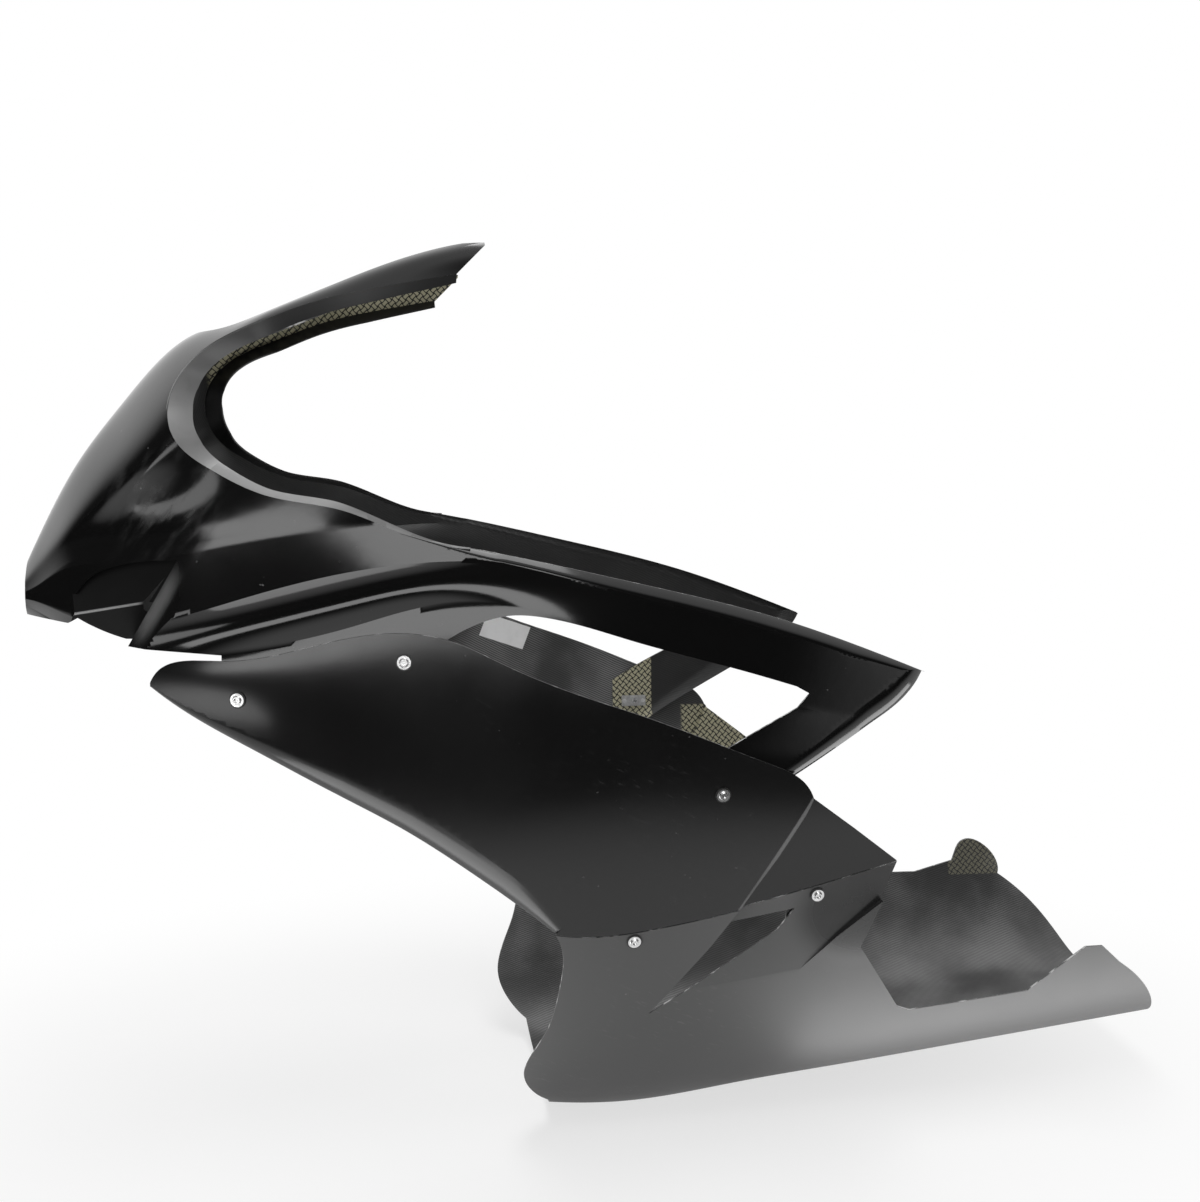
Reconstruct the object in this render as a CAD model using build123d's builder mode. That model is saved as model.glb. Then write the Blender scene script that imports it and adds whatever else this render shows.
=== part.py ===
from build123d import *
import math
import os

# A full race fairing for a motorcycle: an upper fairing, two side panels and a belly pan, screwed together.
# X runs rearward, Y to the rider's right and Z up, in millimetres. The origin is on the mid-plane inside
# the nose, where the front stay of the motorcycle carries the fairing.

# Laminate and joints
WALL = 2.5
JOINT_GAP = 0.5
SEAM_GAP = 1.0
STEP_DEPTH = 8.0
FLANGE_WIDTH = 38.0
JOGGLE_WIDTH = 5.0
LIP_THICKNESS = 2.2
LIP_SECTIONS = 40
LIP_ROOT = (0.3, 0.4)

# Screws, washers and riveted nut plates
SCREW_DIAMETER = 6.0
SCREW_LENGTH = 16.0
HEAD_DIAMETER = 10.5
HEAD_HEIGHT = 3.3
HEAD_FLANGE_DIAMETER = 13.6
HEAD_FLANGE_HEIGHT = 0.9
SOCKET_ACROSS_FLATS = 4.0
SOCKET_DEPTH = 2.0
WASHER_DIAMETER = 16.5
WASHER_THICKNESS = 1.0
SCREW_HOLE = 6.6
PLATE_LENGTH = 32.0
PLATE_WIDTH = 14.0
PLATE_THICKNESS = 1.2
RIVET_PITCH = 25.0
RIVET_DIAMETER = 3.2
RIVET_HEAD_DIAMETER = 5.4
RIVET_HEAD_HEIGHT = 0.9
NUT_WIDTH = 10.0
NUT_HEIGHT = 5.0
SEAT_GAP = 0.1
INNER_SEAT_GAP = 0.6
THREAD_GAP = 0.05

# Table of offsets of the whole body: each long line gives (half width, height) at each station
STATION_X = [-145, -120, -80, -25, 40, 110, 200, 320, 470, 640, 800, 1160]
ROOF_Z = [36, 84, 145, 206, 264, 298, 335, 370, 385, 385, 380, 370]
ARM_TOP = [(16, 31), (33, 73), (60, 134), (88, 198), (125, 256), (153, 287), (167, 322), (184, 353),
           (192, 365), (192, 360), (188, 350), (175, 340)]
SHOULDER = [(23, 23), (46, 57), (86, 106), (131, 162), (178, 218), (190, 276), (190, 306), (192, 329),
            (206, 330), (208, 325), (204, 315), (190, 300)]
FLANK = [(29, 13), (57, 37), (103, 73), (150, 108), (192, 145), (208, 180), (216, 195), (222, 205),
         (228, 190), (228, 165), (220, 140), (200, 120)]
BROW = [(31, 5), (62, 18), (108, 43), (149, 53), (179, 62), (203, 75), (217, 86), (226, 92),
        (231, 66), (230, 18), (222, -22), (202, -50)]
RIDGE = [(32, -3), (64, -4), (112, -13), (154, -17), (186, -2), (209, 20), (223, 41), (232, 51),
         (235, 24), (232, -34), (223, -80), (203, -120)]
CHANNEL = [(31.5, -6), (63, -10), (110, -21), (150, -31), (178, -22), (196, -6), (210, 14), (227, 32),
           (236, -10), (233, -65), (224, -108), (204, -150)]
SILL = [(31, -10), (61, -17), (108, -31), (149, -48), (182, -46), (206, -33), (222, -12), (231, 12),
        (237, -48), (234, -100), (224, -138), (205, -180)]
WAIST = [(28, -17), (57, -32), (103, -62), (145, -103), (182, -125), (208, -142), (225, -158), (235, -168),
         (239, -182), (234, -205), (221, -228), (200, -280)]
SEAM = [(22, -24), (46, -52), (84, -103), (124, -176), (155, -240), (178, -292), (193, -325), (202, -343),
        (203, -347), (205, -335), (203, -318), (180, -330)]
BILGE = [(16, -29), (34, -66), (62, -132), (91, -226), (115, -310), (132, -382), (144, -442), (150, -492),
         (151, -518), (152, -506), (152, -492), (140, -462)]
FLOOR = [(10, -33), (22, -77), (42, -154), (60, -260), (77, -352), (88, -432), (96, -500), (100, -557),
         (101, -581), (102, -566), (101, -551), (95, -518)]
KEEL_Z = [-35, -80, -162, -270, -364, -444, -512, -569, -591, -576, -560, -526]
LINES = [ARM_TOP, SHOULDER, FLANK, BROW, RIDGE, CHANNEL, SILL, WAIST, SEAM, BILGE, FLOOR]
BROW_INDEX = 1 + LINES.index(BROW)
RIDGE_INDEX = 1 + LINES.index(RIDGE)
SILL_INDEX = 1 + LINES.index(SILL)
# How much of the step behind the step line each line takes: it fades out above the bilge
STEP_SHARE = {LINES.index(WAIST) + 1: 1.0, LINES.index(SEAM) + 1: 1.0, LINES.index(BILGE) + 1: -1.0}
# Lofted sections, closer together towards the nose
SECTION_COUNT = 14
SECTION_GRADING = 1.6
SLOPE_REACH = 4.0

# Side-view outlines, as (x, z)
NOSE_UNDERSIDE = [(-90, -20), (-79, -14), (-55, -30), (-35, -39), (69, -42)]
FLANGE_EDGE = [(69, -92), (255, -64), (285, -27)]
WINDOW_TOP = [(285, -27), (317, -11), (347, -4), (378, -6), (469, -32), (574, -63), (640, -84)]
WINDOW_CORNER = (654, -92)
STRUT_INNER = [(641, -106), (606, -123), (568, -143), (534, -163)]
STRUT_FOOT = [(534, -206), (568, -222)]
STRUT_OUTER = [(568, -222), (640, -178), (725, -128), (766, -98), (781, -75)]
HAND_RIM = [(781, -75), (704, -44), (629, -17), (465, 27), (310, 62), (243, 78), (191, 99), (117, 114), (65, 139),
            (36, 163), (26, 192), (32, 220), (60, 252), (106, 275), (166, 298), (220, 311), (303, 326)]
ARM_END = (331, 354)
SCREEN_EDGE = [(28, 0), (42, 75), (90, 147), (200, 165), (345, 186)]
SCREEN_REAR = 420.0
SCREEN_FLOOR = 120.0
PANEL_TOP = [(-3, -72), (4, -61), (72, -47), (175, -27), (238, -19), (285, -26), (342, -52), (411, -82), (482, -108),
             (555, -138), (611, -162), (646, -181), (660, -202)]
PANEL_TAIL = (711, -241)
SEAM_LINE = [(764, -283), (678, -305), (591, -325), (505, -341), (434, -347), (395, -342)]
PANEL_FRONT = [(395, -342), (366, -317), (337, -293), (239, -219), (173, -180), (97, -136), (34, -101), (-3, -76)]
# Bevel along the front of the panel: its width at each point, and its depth as a share of that width
BEVEL_WIDTHS = [10, 18, 24, 26, 24, 14, 6, 2]
BEVEL_SHARE = 0.42
BEVEL_SECTIONS = 12
BEVEL_MARGINS = (0.7, 70.0)
STEP_LINE = [(660, -202), (649, -228), (628, -263), (607, -296), (590, -325), (560, -369), (498, -447)]
SCOOP_RIDGE = [(648, -418), (702, -366), (750, -327), (790, -268)]
STEP_REGION = [(692, -150), *STEP_LINE, (480, -470), (655, -460), *SCOOP_RIDGE, (800, -150)]
VENT = [(498, -447), (582, -342), (653, -331), (635, -355)]
BELLY_FRONT = [(404, -374), (402, -402), (390, -460), (374, -495), (368, -522), (378, -548), (400, -570)]
TAIL_TOP = [(1054, -433), (1124, -510), (1140, -640)]
LEFT_REAR_EDGE = [[(749, -329), (730, -382)], [(784, -464), (800, -471)], [(942, -460), (969, -436), (1004, -407)],
                  [(1026, -408), (1054, -433)]]
RIGHT_REAR_EDGE = [[(757, -330), (790, -400), (850, -428)], [(940, -428), (992, -415)],
                   [(1000, -398), (1013, -388), (1028, -390), (1054, -433)]]
FLANGE_TABS = [(430, 545), (645, 735)]
# Return lip of each hand cut-out: how far its edge stands from each point of the rim, for the left side
RIM_LIP = [(0, 3, 1), (0, 4, 1), (0, 5, 2), (0, 6, 2), (0, 8, 2), (2, 14, 3), (-5, 22, 7), (3, 18, 5), (8, 18, 6),
           (19, 18, 4), (22, 18, 3), (20, 17, -3), (14, 16, -8), (8, 14, -12), (2, 12, -13), (1, 11, -12), (0, 10, -8)]
# Air inlet on the left of the nose: its upper edge in side view, the ridge along its floor and its rear lip
INLET_TOP = [(-78, 11), (-66, 26), (-37, 41), (-3, 48), (28, 50)]
INLET_ENDS = (-88, 64)
INLET_BOTTOM = -90.0
INLET_RIDGE = [(-79, -111, -9), (-12, -123, 2)]
FLOOR_LEANS = [(0, 4, 30), (0, 18, -25)]
INLET_LIP = [(-25, -140, -37), (28, -164, 50)]
LIP_FACES = [(0, 1, 0), (1, -1, 0)]
DUCT = [(24, 43), (4, 21), (-12, 3), (-13, -5), (-5, -12), (6, -10), (34, 42)]
DUCT_DEPTHS = (60.0, 124.0)
SCREW_PLACES = [(84, -84), (244, -47), (562, -192), (478, -355), (677, -317)]
VIEW_TOP = 460.0
VIEW_FRONT = -180.0
VIEW_BOTTOM = -640.0
SIDE_REACH = 320.0


def along(values, x):
    """A smooth curve through one value per station that doesn't swing past them."""
    runs = [b - a for a, b in zip(STATION_X, STATION_X[1:])]
    slopes = [(b - a) / run for a, b, run in zip(values, values[1:], runs)]
    tangents = [slopes[0]]
    for before, after, run_before, run_after in zip(slopes, slopes[1:], runs, runs[1:]):
        near, far = 2 * run_after + run_before, run_after + 2 * run_before
        tangents.append((near + far) / (near / before + far / after) if before * after > 0 else 0.0)
    tangents.append(slopes[-1])
    k = max(i for i in range(len(runs)) if i == 0 or STATION_X[i] <= x)
    t = (x - STATION_X[k]) / runs[k]
    start, end = values[k], values[k + 1]
    bend = t * (1 - t) * runs[k]
    return start + (end - start) * t * t * (3 - 2 * t) + bend * ((1 - t) * tangents[k] - t * tangents[k + 1])


def half_profile(x):
    """Points of one section from the roof down the right side to the keel, as (y, z)."""
    sides = [tuple(along([point[axis] for point in line], x) for axis in (0, 1)) for line in LINES]
    return [(0.0, along(ROOF_Z, x)), *sides, (0.0, along(KEEL_Z, x))]


def inset_section(x, inset, step):
    """Plane position and half profile of one section, moved inward by a distance along the surface normals."""
    first, last = max(x - SLOPE_REACH, STATION_X[0]), min(x + SLOPE_REACH, STATION_X[-1])
    ahead, behind, points = half_profile(first), half_profile(last), half_profile(x)
    normals, rates = [], []
    for index in range(len(points)):
        above = points[index - 1] if index else (-points[1][0], points[1][1])
        below = points[index + 1] if index < len(points) - 1 else (-points[-2][0], points[-2][1])
        length = math.dist(above, below)
        normal = ((above[1] - below[1]) / length, (below[0] - above[0]) / length)
        spread = [b - a for a, b in zip(ahead[index], behind[index])]
        normals.append(normal)
        rates.append((spread[0] * normal[0] + spread[1] * normal[1]) / (last - first))
    mean_rate = sum(rates) / len(rates)
    shift = inset * mean_rate / math.hypot(1.0, mean_rate)
    moved = []
    for index, (y, z) in enumerate(points):
        depth = inset * math.hypot(1.0, rates[index]) - shift * rates[index] + step * STEP_SHARE.get(index, 0.0)
        moved.append((y - normals[index][0] * depth, z - normals[index][1] * depth))
    return x + shift, moved


def chord_parameters(points):
    """Parameters from 0 to 1 spaced as the points are."""
    lengths = [0.0]
    for a, b in zip(points, points[1:]):
        lengths.append(lengths[-1] + math.dist(a, b))
    return [length / lengths[-1] for length in lengths]


def section_runs(right):
    """The six runs of one closed section, split at the creases of the body."""
    left = [(-y, z) for y, z in right]
    return [
        left[BROW_INDEX:0:-1] + right[: BROW_INDEX + 1],
        right[BROW_INDEX : RIDGE_INDEX + 1],
        right[RIDGE_INDEX : SILL_INDEX + 1],
        right[SILL_INDEX:] + left[-2 : SILL_INDEX - 1 : -1],
        left[SILL_INDEX : RIDGE_INDEX - 1 : -1],
        left[RIDGE_INDEX : BROW_INDEX - 1 : -1],
    ]


SECTION_X = [STATION_X[0] + (STATION_X[-1] - STATION_X[0]) * (k / SECTION_COUNT) ** SECTION_GRADING
             for k in range(SECTION_COUNT + 1)]


def shared_parameters(run):
    """Parameters of one run, averaged over the sections, so that the loft joins like with like."""
    rows = [chord_parameters(section_runs(half_profile(x))[run]) for x in SECTION_X]
    return [sum(column) / len(rows) for column in zip(*rows)]


RUN_PARAMETERS = [shared_parameters(run) for run in range(6)]
bodies = {}


def whole_body(inset, step=0.0):
    """The closed form of the whole fairing, inset by a distance and stepped in below the waist."""
    if (inset, step) not in bodies:
        with BuildPart() as body:
            for section_x in SECTION_X:
                x, profile = inset_section(section_x, inset, step)
                with BuildSketch(Plane.YZ.offset(x)):
                    with BuildLine():
                        for run, parameters in zip(section_runs(profile), RUN_PARAMETERS):
                            add(Edge.make_spline(run, parameters=parameters))
                    make_face()
            loft()
        bodies[inset, step] = body.part
    return bodies[inset, step]


def draw(*runs):
    """Lines and curves of one closed outline: a curve for a run of three or more points, else a straight line."""
    chain = [run for run in runs if run]
    for run, following in zip(chain, chain[1:] + chain[:1]):
        if len(run) > 2:
            Spline(*run)
        elif len(run) == 2:
            Line(run[0], run[1])
        if math.dist(run[-1], following[0]) > 1e-6:
            Line(run[-1], following[0])


def lowered(points, distance):
    """The same points moved straight down."""
    return [(x, z - distance) for x, z in points]


def seam_height(x):
    """Height of the seam between the panel and the belly pan."""
    for (x0, z0), (x1, z1) in zip(SEAM_LINE, SEAM_LINE[1:]):
        if x1 <= x <= x0:
            return z0 + (z1 - z0) * (x - x0) / (x1 - x0)
    raise ValueError(f"no seam at {x}")


def surface_point(x, z, side, inset, step=0.0):
    """Point and outward normal on one side of the body, seen along Y."""
    hits = whole_body(inset, step).find_intersection_points(Axis((x, 0, z), (0, side, 0)))
    point, normal = max(hits, key=lambda hit: hit[0].Y * side)
    return point, normal if normal.Y * side > 0 else -normal


def is_stepped(x, z):
    """Whether a place above the vent lies behind the step line."""
    for (x0, z0), (x1, z1) in zip(STEP_LINE, STEP_LINE[1:]):
        if min(z0, z1) <= z <= max(z0, z1):
            return x > x0 + (x1 - x0) * (z - z0) / (z1 - z0)
    return False


def stepped_body(inset, margin):
    """The whole body with the step let into both sides, its outline grown by a margin."""
    with BuildPart() as body:
        add(whole_body(inset))
        with BuildPart(mode=Mode.SUBTRACT):
            with BuildSketch(Plane.XZ):
                with BuildLine():
                    Polyline(*STEP_REGION, close=True)
                make_face()
                if margin:
                    offset(amount=margin, kind=Kind.INTERSECTION)
            extrude(amount=SIDE_REACH, both=True)
            add(whole_body(inset, STEP_DEPTH), mode=Mode.SUBTRACT)
    return body.part


def inlet_planes(edge, faces, depth):
    """Planes that share an edge, each moved into the body by a depth, with z out of the body."""
    run = Vector(*edge[1]) - Vector(*edge[0])
    planes = []
    for face in faces:
        normal = run.cross(Vector(*face)).normalized()
        normal = normal if normal.Y < 0 or normal.Y == 0 and normal.X < 0 else -normal
        planes.append(Plane(origin=Vector(*edge[0]) - normal * depth, x_dir=run, z_dir=normal))
    return planes


def inlet_hollow(depth):
    """The hollow of the left air inlet, grown into the body by a depth."""
    with BuildPart() as hollow:
        with BuildSketch(Plane.XZ):
            with BuildLine():
                top, front, rear = lowered(INLET_TOP, -depth), INLET_ENDS[0] - depth, INLET_ENDS[1]
                draw([(front, top[0][1])], top, [(rear, top[-1][1]), (rear, INLET_BOTTOM)], [(front, INLET_BOTTOM)])
            make_face()
        extrude(amount=SIDE_REACH)
        for edge, faces in ((INLET_RIDGE, FLOOR_LEANS), (INLET_LIP, LIP_FACES)):
            with BuildPart(mode=Mode.INTERSECT):
                with Locations(*inlet_planes(edge, faces, depth)):
                    reach = 3 * SIDE_REACH
                    Box(reach, reach, reach, align=(Align.CENTER, Align.CENTER, Align.MIN))
    return hollow.part


def nosed_body(inset):
    """The whole body at an inset, with the air inlets let into both sides of the nose."""
    with BuildPart() as body:
        add(whole_body(inset))
        hollow = inlet_hollow(inset)
        add(hollow, mode=Mode.SUBTRACT)
        add(mirror(hollow, about=Plane.XZ), mode=Mode.SUBTRACT)
    return body.part


def rim_lip():
    """The return lip around the left hand cut-out, turned in from the rim."""
    parameters = chord_parameters(HAND_RIM)
    rim = Edge.make_spline([(x, 0, z) for x, z in HAND_RIM], parameters=parameters)
    wires = []
    for t in [k / LIP_SECTIONS for k in range(LIP_SECTIONS + 1)]:
        place, direction = rim.position_at(t), rim.tangent_at(t)
        away = Vector(-direction.Z, 0, direction.X)
        root, normal = surface_point(place.X, place.Z, -1, 0.0)
        k = max(i for i in range(len(parameters) - 1) if i == 0 or parameters[i] <= t)
        share = (t - parameters[k]) / (parameters[k + 1] - parameters[k])
        reach = Vector(*RIM_LIP[k]) * (1 - share) + Vector(*RIM_LIP[k + 1]) * share
        under = (away - reach * (away.dot(reach) / reach.dot(reach))).normalized() * LIP_THICKNESS
        corner, tip = root + away * LIP_ROOT[0] - normal * LIP_ROOT[1], root + reach
        wires.append(Wire.make_polygon([corner, tip, tip + under, corner + under]))
    return Solid.make_loft(wires, True)


def panel_bevel(depth):
    """What the bevel takes off the front of the left panel, moved into the body by a depth."""
    parameters = chord_parameters(PANEL_FRONT)
    front = Edge.make_spline([(x, 0, z) for x, z in PANEL_FRONT], parameters=parameters)
    wires = []
    for t in [k / BEVEL_SECTIONS for k in range(BEVEL_SECTIONS + 1)]:
        place, direction = front.position_at(t), front.tangent_at(t)
        k = max(i for i in range(len(parameters) - 1) if i == 0 or parameters[i] <= t)
        share = (t - parameters[k]) / (parameters[k + 1] - parameters[k])
        width = BEVEL_WIDTHS[k] * (1 - share) + BEVEL_WIDTHS[k + 1] * share
        high = place + Vector(direction.Z, 0, -direction.X) * width
        start, normal = surface_point(high.X, high.Z, -1, -WALL - JOINT_GAP)
        edge = surface_point(place.X, place.Z, -1, -WALL - JOINT_GAP)[0] - normal * BEVEL_SHARE * width
        slope = edge - start
        upper, lower = start - slope * BEVEL_MARGINS[0], edge + slope * 2
        corners = [upper, lower, lower + normal * BEVEL_MARGINS[1], upper + normal * BEVEL_MARGINS[1]]
        wires.append(Wire.make_polygon([corner - normal * depth for corner in corners]))
    return Solid.make_loft(wires, True)


def bevelled(body, depth):
    """A body with the bevel of the left panel taken off it."""
    with BuildPart() as rest:
        add(body)
        add(panel_bevel(depth), mode=Mode.SUBTRACT)
    return rest.part


def screw_planes():
    """Planes on the outer surface at each screw place, with z along the screw towards its head."""
    planes = []
    for side in (-1, 1):
        for x, z in SCREW_PLACES:
            step = STEP_DEPTH if is_stepped(x, z) else 0.0
            point, normal = surface_point(x, z, side, -WALL - JOINT_GAP, step)
            along_x = Vector(1, 0, 0) - normal * normal.X
            planes.append(Plane(origin=point, x_dir=along_x, z_dir=normal))
    return planes


STACK = 2 * WALL + JOINT_GAP
PLATE_OUTER = -STACK - INNER_SEAT_GAP
PLATE_INNER = PLATE_OUTER - PLATE_THICKNESS
NUT_INNER = PLATE_INNER - SEAT_GAP - NUT_HEIGHT
HEAD_SEAT = 2 * SEAT_GAP + WASHER_THICKNESS


if __name__ == "__main__":
    os.makedirs("parts", exist_ok=True)
    screw_places = screw_planes()
    seam_below = lowered(SEAM_LINE, SEAM_GAP)
    panel_outside = stepped_body(-WALL - JOINT_GAP, 0.0)
    panel_inside = stepped_body(-JOINT_GAP, WALL)

    with BuildPart() as upper_fairing:
        add(nosed_body(0.0))
        add(nosed_body(WALL), mode=Mode.SUBTRACT)
        with BuildSketch(Plane.XZ):
            with BuildLine():
                draw([(VIEW_FRONT, VIEW_TOP), (VIEW_FRONT, NOSE_UNDERSIDE[0][1])], NOSE_UNDERSIDE[:2],
                     NOSE_UNDERSIDE[1:4], NOSE_UNDERSIDE[3:], FLANGE_EDGE[:2], FLANGE_EDGE[1:], WINDOW_TOP,
                     [WINDOW_CORNER], STRUT_INNER, STRUT_FOOT, STRUT_OUTER, HAND_RIM, [ARM_END],
                     [(ARM_END[0], VIEW_TOP)])
            make_face()
        extrude(amount=SIDE_REACH, both=True, mode=Mode.INTERSECT)
        with BuildSketch(Plane.XY.offset(SCREEN_FLOOR)):
            with BuildLine():
                rear = [(SCREEN_REAR, SCREEN_EDGE[-1][1]), (SCREEN_REAR, -SCREEN_EDGE[-1][1])]
                far = [(x, -y) for x, y in reversed(SCREEN_EDGE[1:])]
                draw(far + SCREEN_EDGE, rear)
            make_face()
        extrude(amount=VIEW_TOP - SCREEN_FLOOR, mode=Mode.SUBTRACT)
        for side in (1, -1):
            with BuildSketch(Plane.XZ.offset(side * DUCT_DEPTHS[0])):
                with BuildLine():
                    Polyline(*DUCT, close=True)
                make_face()
            extrude(amount=side * (DUCT_DEPTHS[1] - DUCT_DEPTHS[0]), mode=Mode.SUBTRACT)
        lip = rim_lip()
        add(lip)
        add(mirror(lip, about=Plane.XZ))

    with BuildPart() as left_side_panel:
        with BuildSketch(Plane.XZ):
            with BuildLine():
                draw(PANEL_TOP, [PANEL_TAIL], SEAM_LINE, PANEL_FRONT)
            make_face()
        extrude(amount=SIDE_REACH)
        add(bevelled(panel_outside, 0.0), mode=Mode.INTERSECT)
        add(bevelled(panel_inside, WALL), mode=Mode.SUBTRACT)
        for first, last in FLANGE_TABS:
            top = [(first, seam_height(first) + JOGGLE_WIDTH), (last, seam_height(last) + JOGGLE_WIDTH)]
            seam = lowered(top, JOGGLE_WIDTH)
            step = STEP_DEPTH if is_stepped(*seam[0]) else 0.0
            for outer, low in ((0.0, lowered(seam, FLANGE_WIDTH)), (-JOINT_GAP - WALL, seam)):
                with BuildPart():
                    with BuildSketch(Plane.XZ):
                        with BuildLine():
                            Polyline(*top, *reversed(low), close=True)
                        make_face()
                    extrude(amount=SIDE_REACH)
                    add(whole_body(outer, step), mode=Mode.INTERSECT)
                    add(whole_body(WALL, step), mode=Mode.SUBTRACT)

    with BuildPart() as right_side_panel:
        add(mirror(left_side_panel.part, about=Plane.XZ))

    with BuildPart() as belly_pan:
        for side, rear_edge in ((1, LEFT_REAR_EDGE), (-1, RIGHT_REAR_EDGE)):
            with BuildSketch(Plane.XZ):
                with BuildLine():
                    draw(seam_below[::-1], seam_below[:1] + rear_edge[0], *rear_edge[1:], TAIL_TOP,
                         [(410, VIEW_BOTTOM)], BELLY_FRONT[::-1] + seam_below[-1:])
                make_face()
            extrude(amount=side * SIDE_REACH)
        add(panel_outside, mode=Mode.INTERSECT)
        add(panel_inside, mode=Mode.SUBTRACT)
        with BuildSketch(Plane.XZ):
            with BuildLine():
                Polyline(*VENT, close=True)
            make_face()
        extrude(amount=SIDE_REACH, both=True, mode=Mode.SUBTRACT)

    # Holes for the screws and rivets
    with BuildPart() as screw_holes:
        with Locations(*screw_places):
            Cylinder(SCREW_HOLE / 2, 4 * STACK)

    with BuildPart() as rivet_holes:
        with Locations(*screw_places):
            with Locations((-RIVET_PITCH / 2, 0, -STACK), (RIVET_PITCH / 2, 0, -STACK)):
                Cylinder(RIVET_DIAMETER / 2 + THREAD_GAP, 2 * WALL)

    for moulding in (upper_fairing, left_side_panel, right_side_panel, belly_pan):
        with moulding:
            add(screw_holes.part, mode=Mode.SUBTRACT)
    for moulding in (upper_fairing, left_side_panel, right_side_panel):
        with moulding:
            add(rivet_holes.part, mode=Mode.SUBTRACT)

    with BuildPart() as panel_screws:
        with Locations(*screw_places):
            with Locations((0, 0, HEAD_SEAT)):
                Cylinder(HEAD_FLANGE_DIAMETER / 2, HEAD_FLANGE_HEIGHT, align=(Align.CENTER, Align.CENTER, Align.MIN))
                Cone(HEAD_DIAMETER / 2, HEAD_DIAMETER / 3, HEAD_HEIGHT, align=(Align.CENTER, Align.CENTER, Align.MIN))
                Cylinder(SCREW_DIAMETER / 2, SCREW_LENGTH, align=(Align.CENTER, Align.CENTER, Align.MAX))
            with Locations((0, 0, HEAD_SEAT + HEAD_HEIGHT)):
                socket = SOCKET_ACROSS_FLATS / math.sqrt(3)
                Cylinder(socket, 2 * SOCKET_DEPTH, mode=Mode.SUBTRACT)

    with BuildPart() as screw_washers:
        with Locations(*[place * Pos(0, 0, SEAT_GAP) for place in [Location(plane) for plane in screw_places]]):
            Cylinder(WASHER_DIAMETER / 2, WASHER_THICKNESS, align=(Align.CENTER, Align.CENTER, Align.MIN))
            Cylinder(SCREW_HOLE / 2, 4 * WASHER_THICKNESS, mode=Mode.SUBTRACT)

    with BuildPart() as nut_plates:
        with Locations(*screw_places):
            with Locations((0, 0, PLATE_OUTER)):
                Box(PLATE_LENGTH, PLATE_WIDTH, PLATE_THICKNESS, align=(Align.CENTER, Align.CENTER, Align.MAX))
                Cylinder(SCREW_HOLE / 2, 4 * PLATE_THICKNESS, mode=Mode.SUBTRACT)
            with Locations((-RIVET_PITCH / 2, 0, PLATE_OUTER), (RIVET_PITCH / 2, 0, PLATE_OUTER)):
                Cylinder(RIVET_DIAMETER / 2 + THREAD_GAP, 4 * PLATE_THICKNESS, mode=Mode.SUBTRACT)

    with BuildPart() as floating_nuts:
        with Locations(*screw_places):
            with Locations((0, 0, PLATE_INNER - SEAT_GAP)):
                Box(NUT_WIDTH, NUT_WIDTH, NUT_HEIGHT, align=(Align.CENTER, Align.CENTER, Align.MAX))
                Cylinder(SCREW_DIAMETER / 2 + THREAD_GAP, 4 * NUT_HEIGHT, mode=Mode.SUBTRACT)

    with BuildPart() as nut_plate_rivets:
        with Locations(*screw_places):
            with Locations((-RIVET_PITCH / 2, 0, PLATE_INNER), (RIVET_PITCH / 2, 0, PLATE_INNER)):
                Cylinder(RIVET_HEAD_DIAMETER / 2, RIVET_HEAD_HEIGHT, align=(Align.CENTER, Align.CENTER, Align.MAX))
                Cylinder(RIVET_DIAMETER / 2, PLATE_THICKNESS + INNER_SEAT_GAP + WALL,
                         align=(Align.CENTER, Align.CENTER, Align.MIN))

    upper_fairing.part.label = "upper_fairing"
    left_side_panel.part.label = "left_side_panel"
    right_side_panel.part.label = "right_side_panel"
    belly_pan.part.label = "belly_pan"
    panel_screws.part.label = "panel_screws"
    screw_washers.part.label = "screw_washers"
    nut_plates.part.label = "nut_plates"
    floating_nuts.part.label = "floating_nuts"
    nut_plate_rivets.part.label = "nut_plate_rivets"
    for piece in (upper_fairing, left_side_panel, right_side_panel, belly_pan, panel_screws, screw_washers, nut_plates,
                  floating_nuts, nut_plate_rivets):
        export_step(piece.part, f"parts/{piece.part.label}.step")
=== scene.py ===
import logging
import math
from collections.abc import Iterator
from contextlib import contextmanager
from dataclasses import dataclass, field
from enum import Enum
from functools import cached_property, partialmethod

import bpy
import numpy as np
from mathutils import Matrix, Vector
from mathutils.bvhtree import BVHTree


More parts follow.
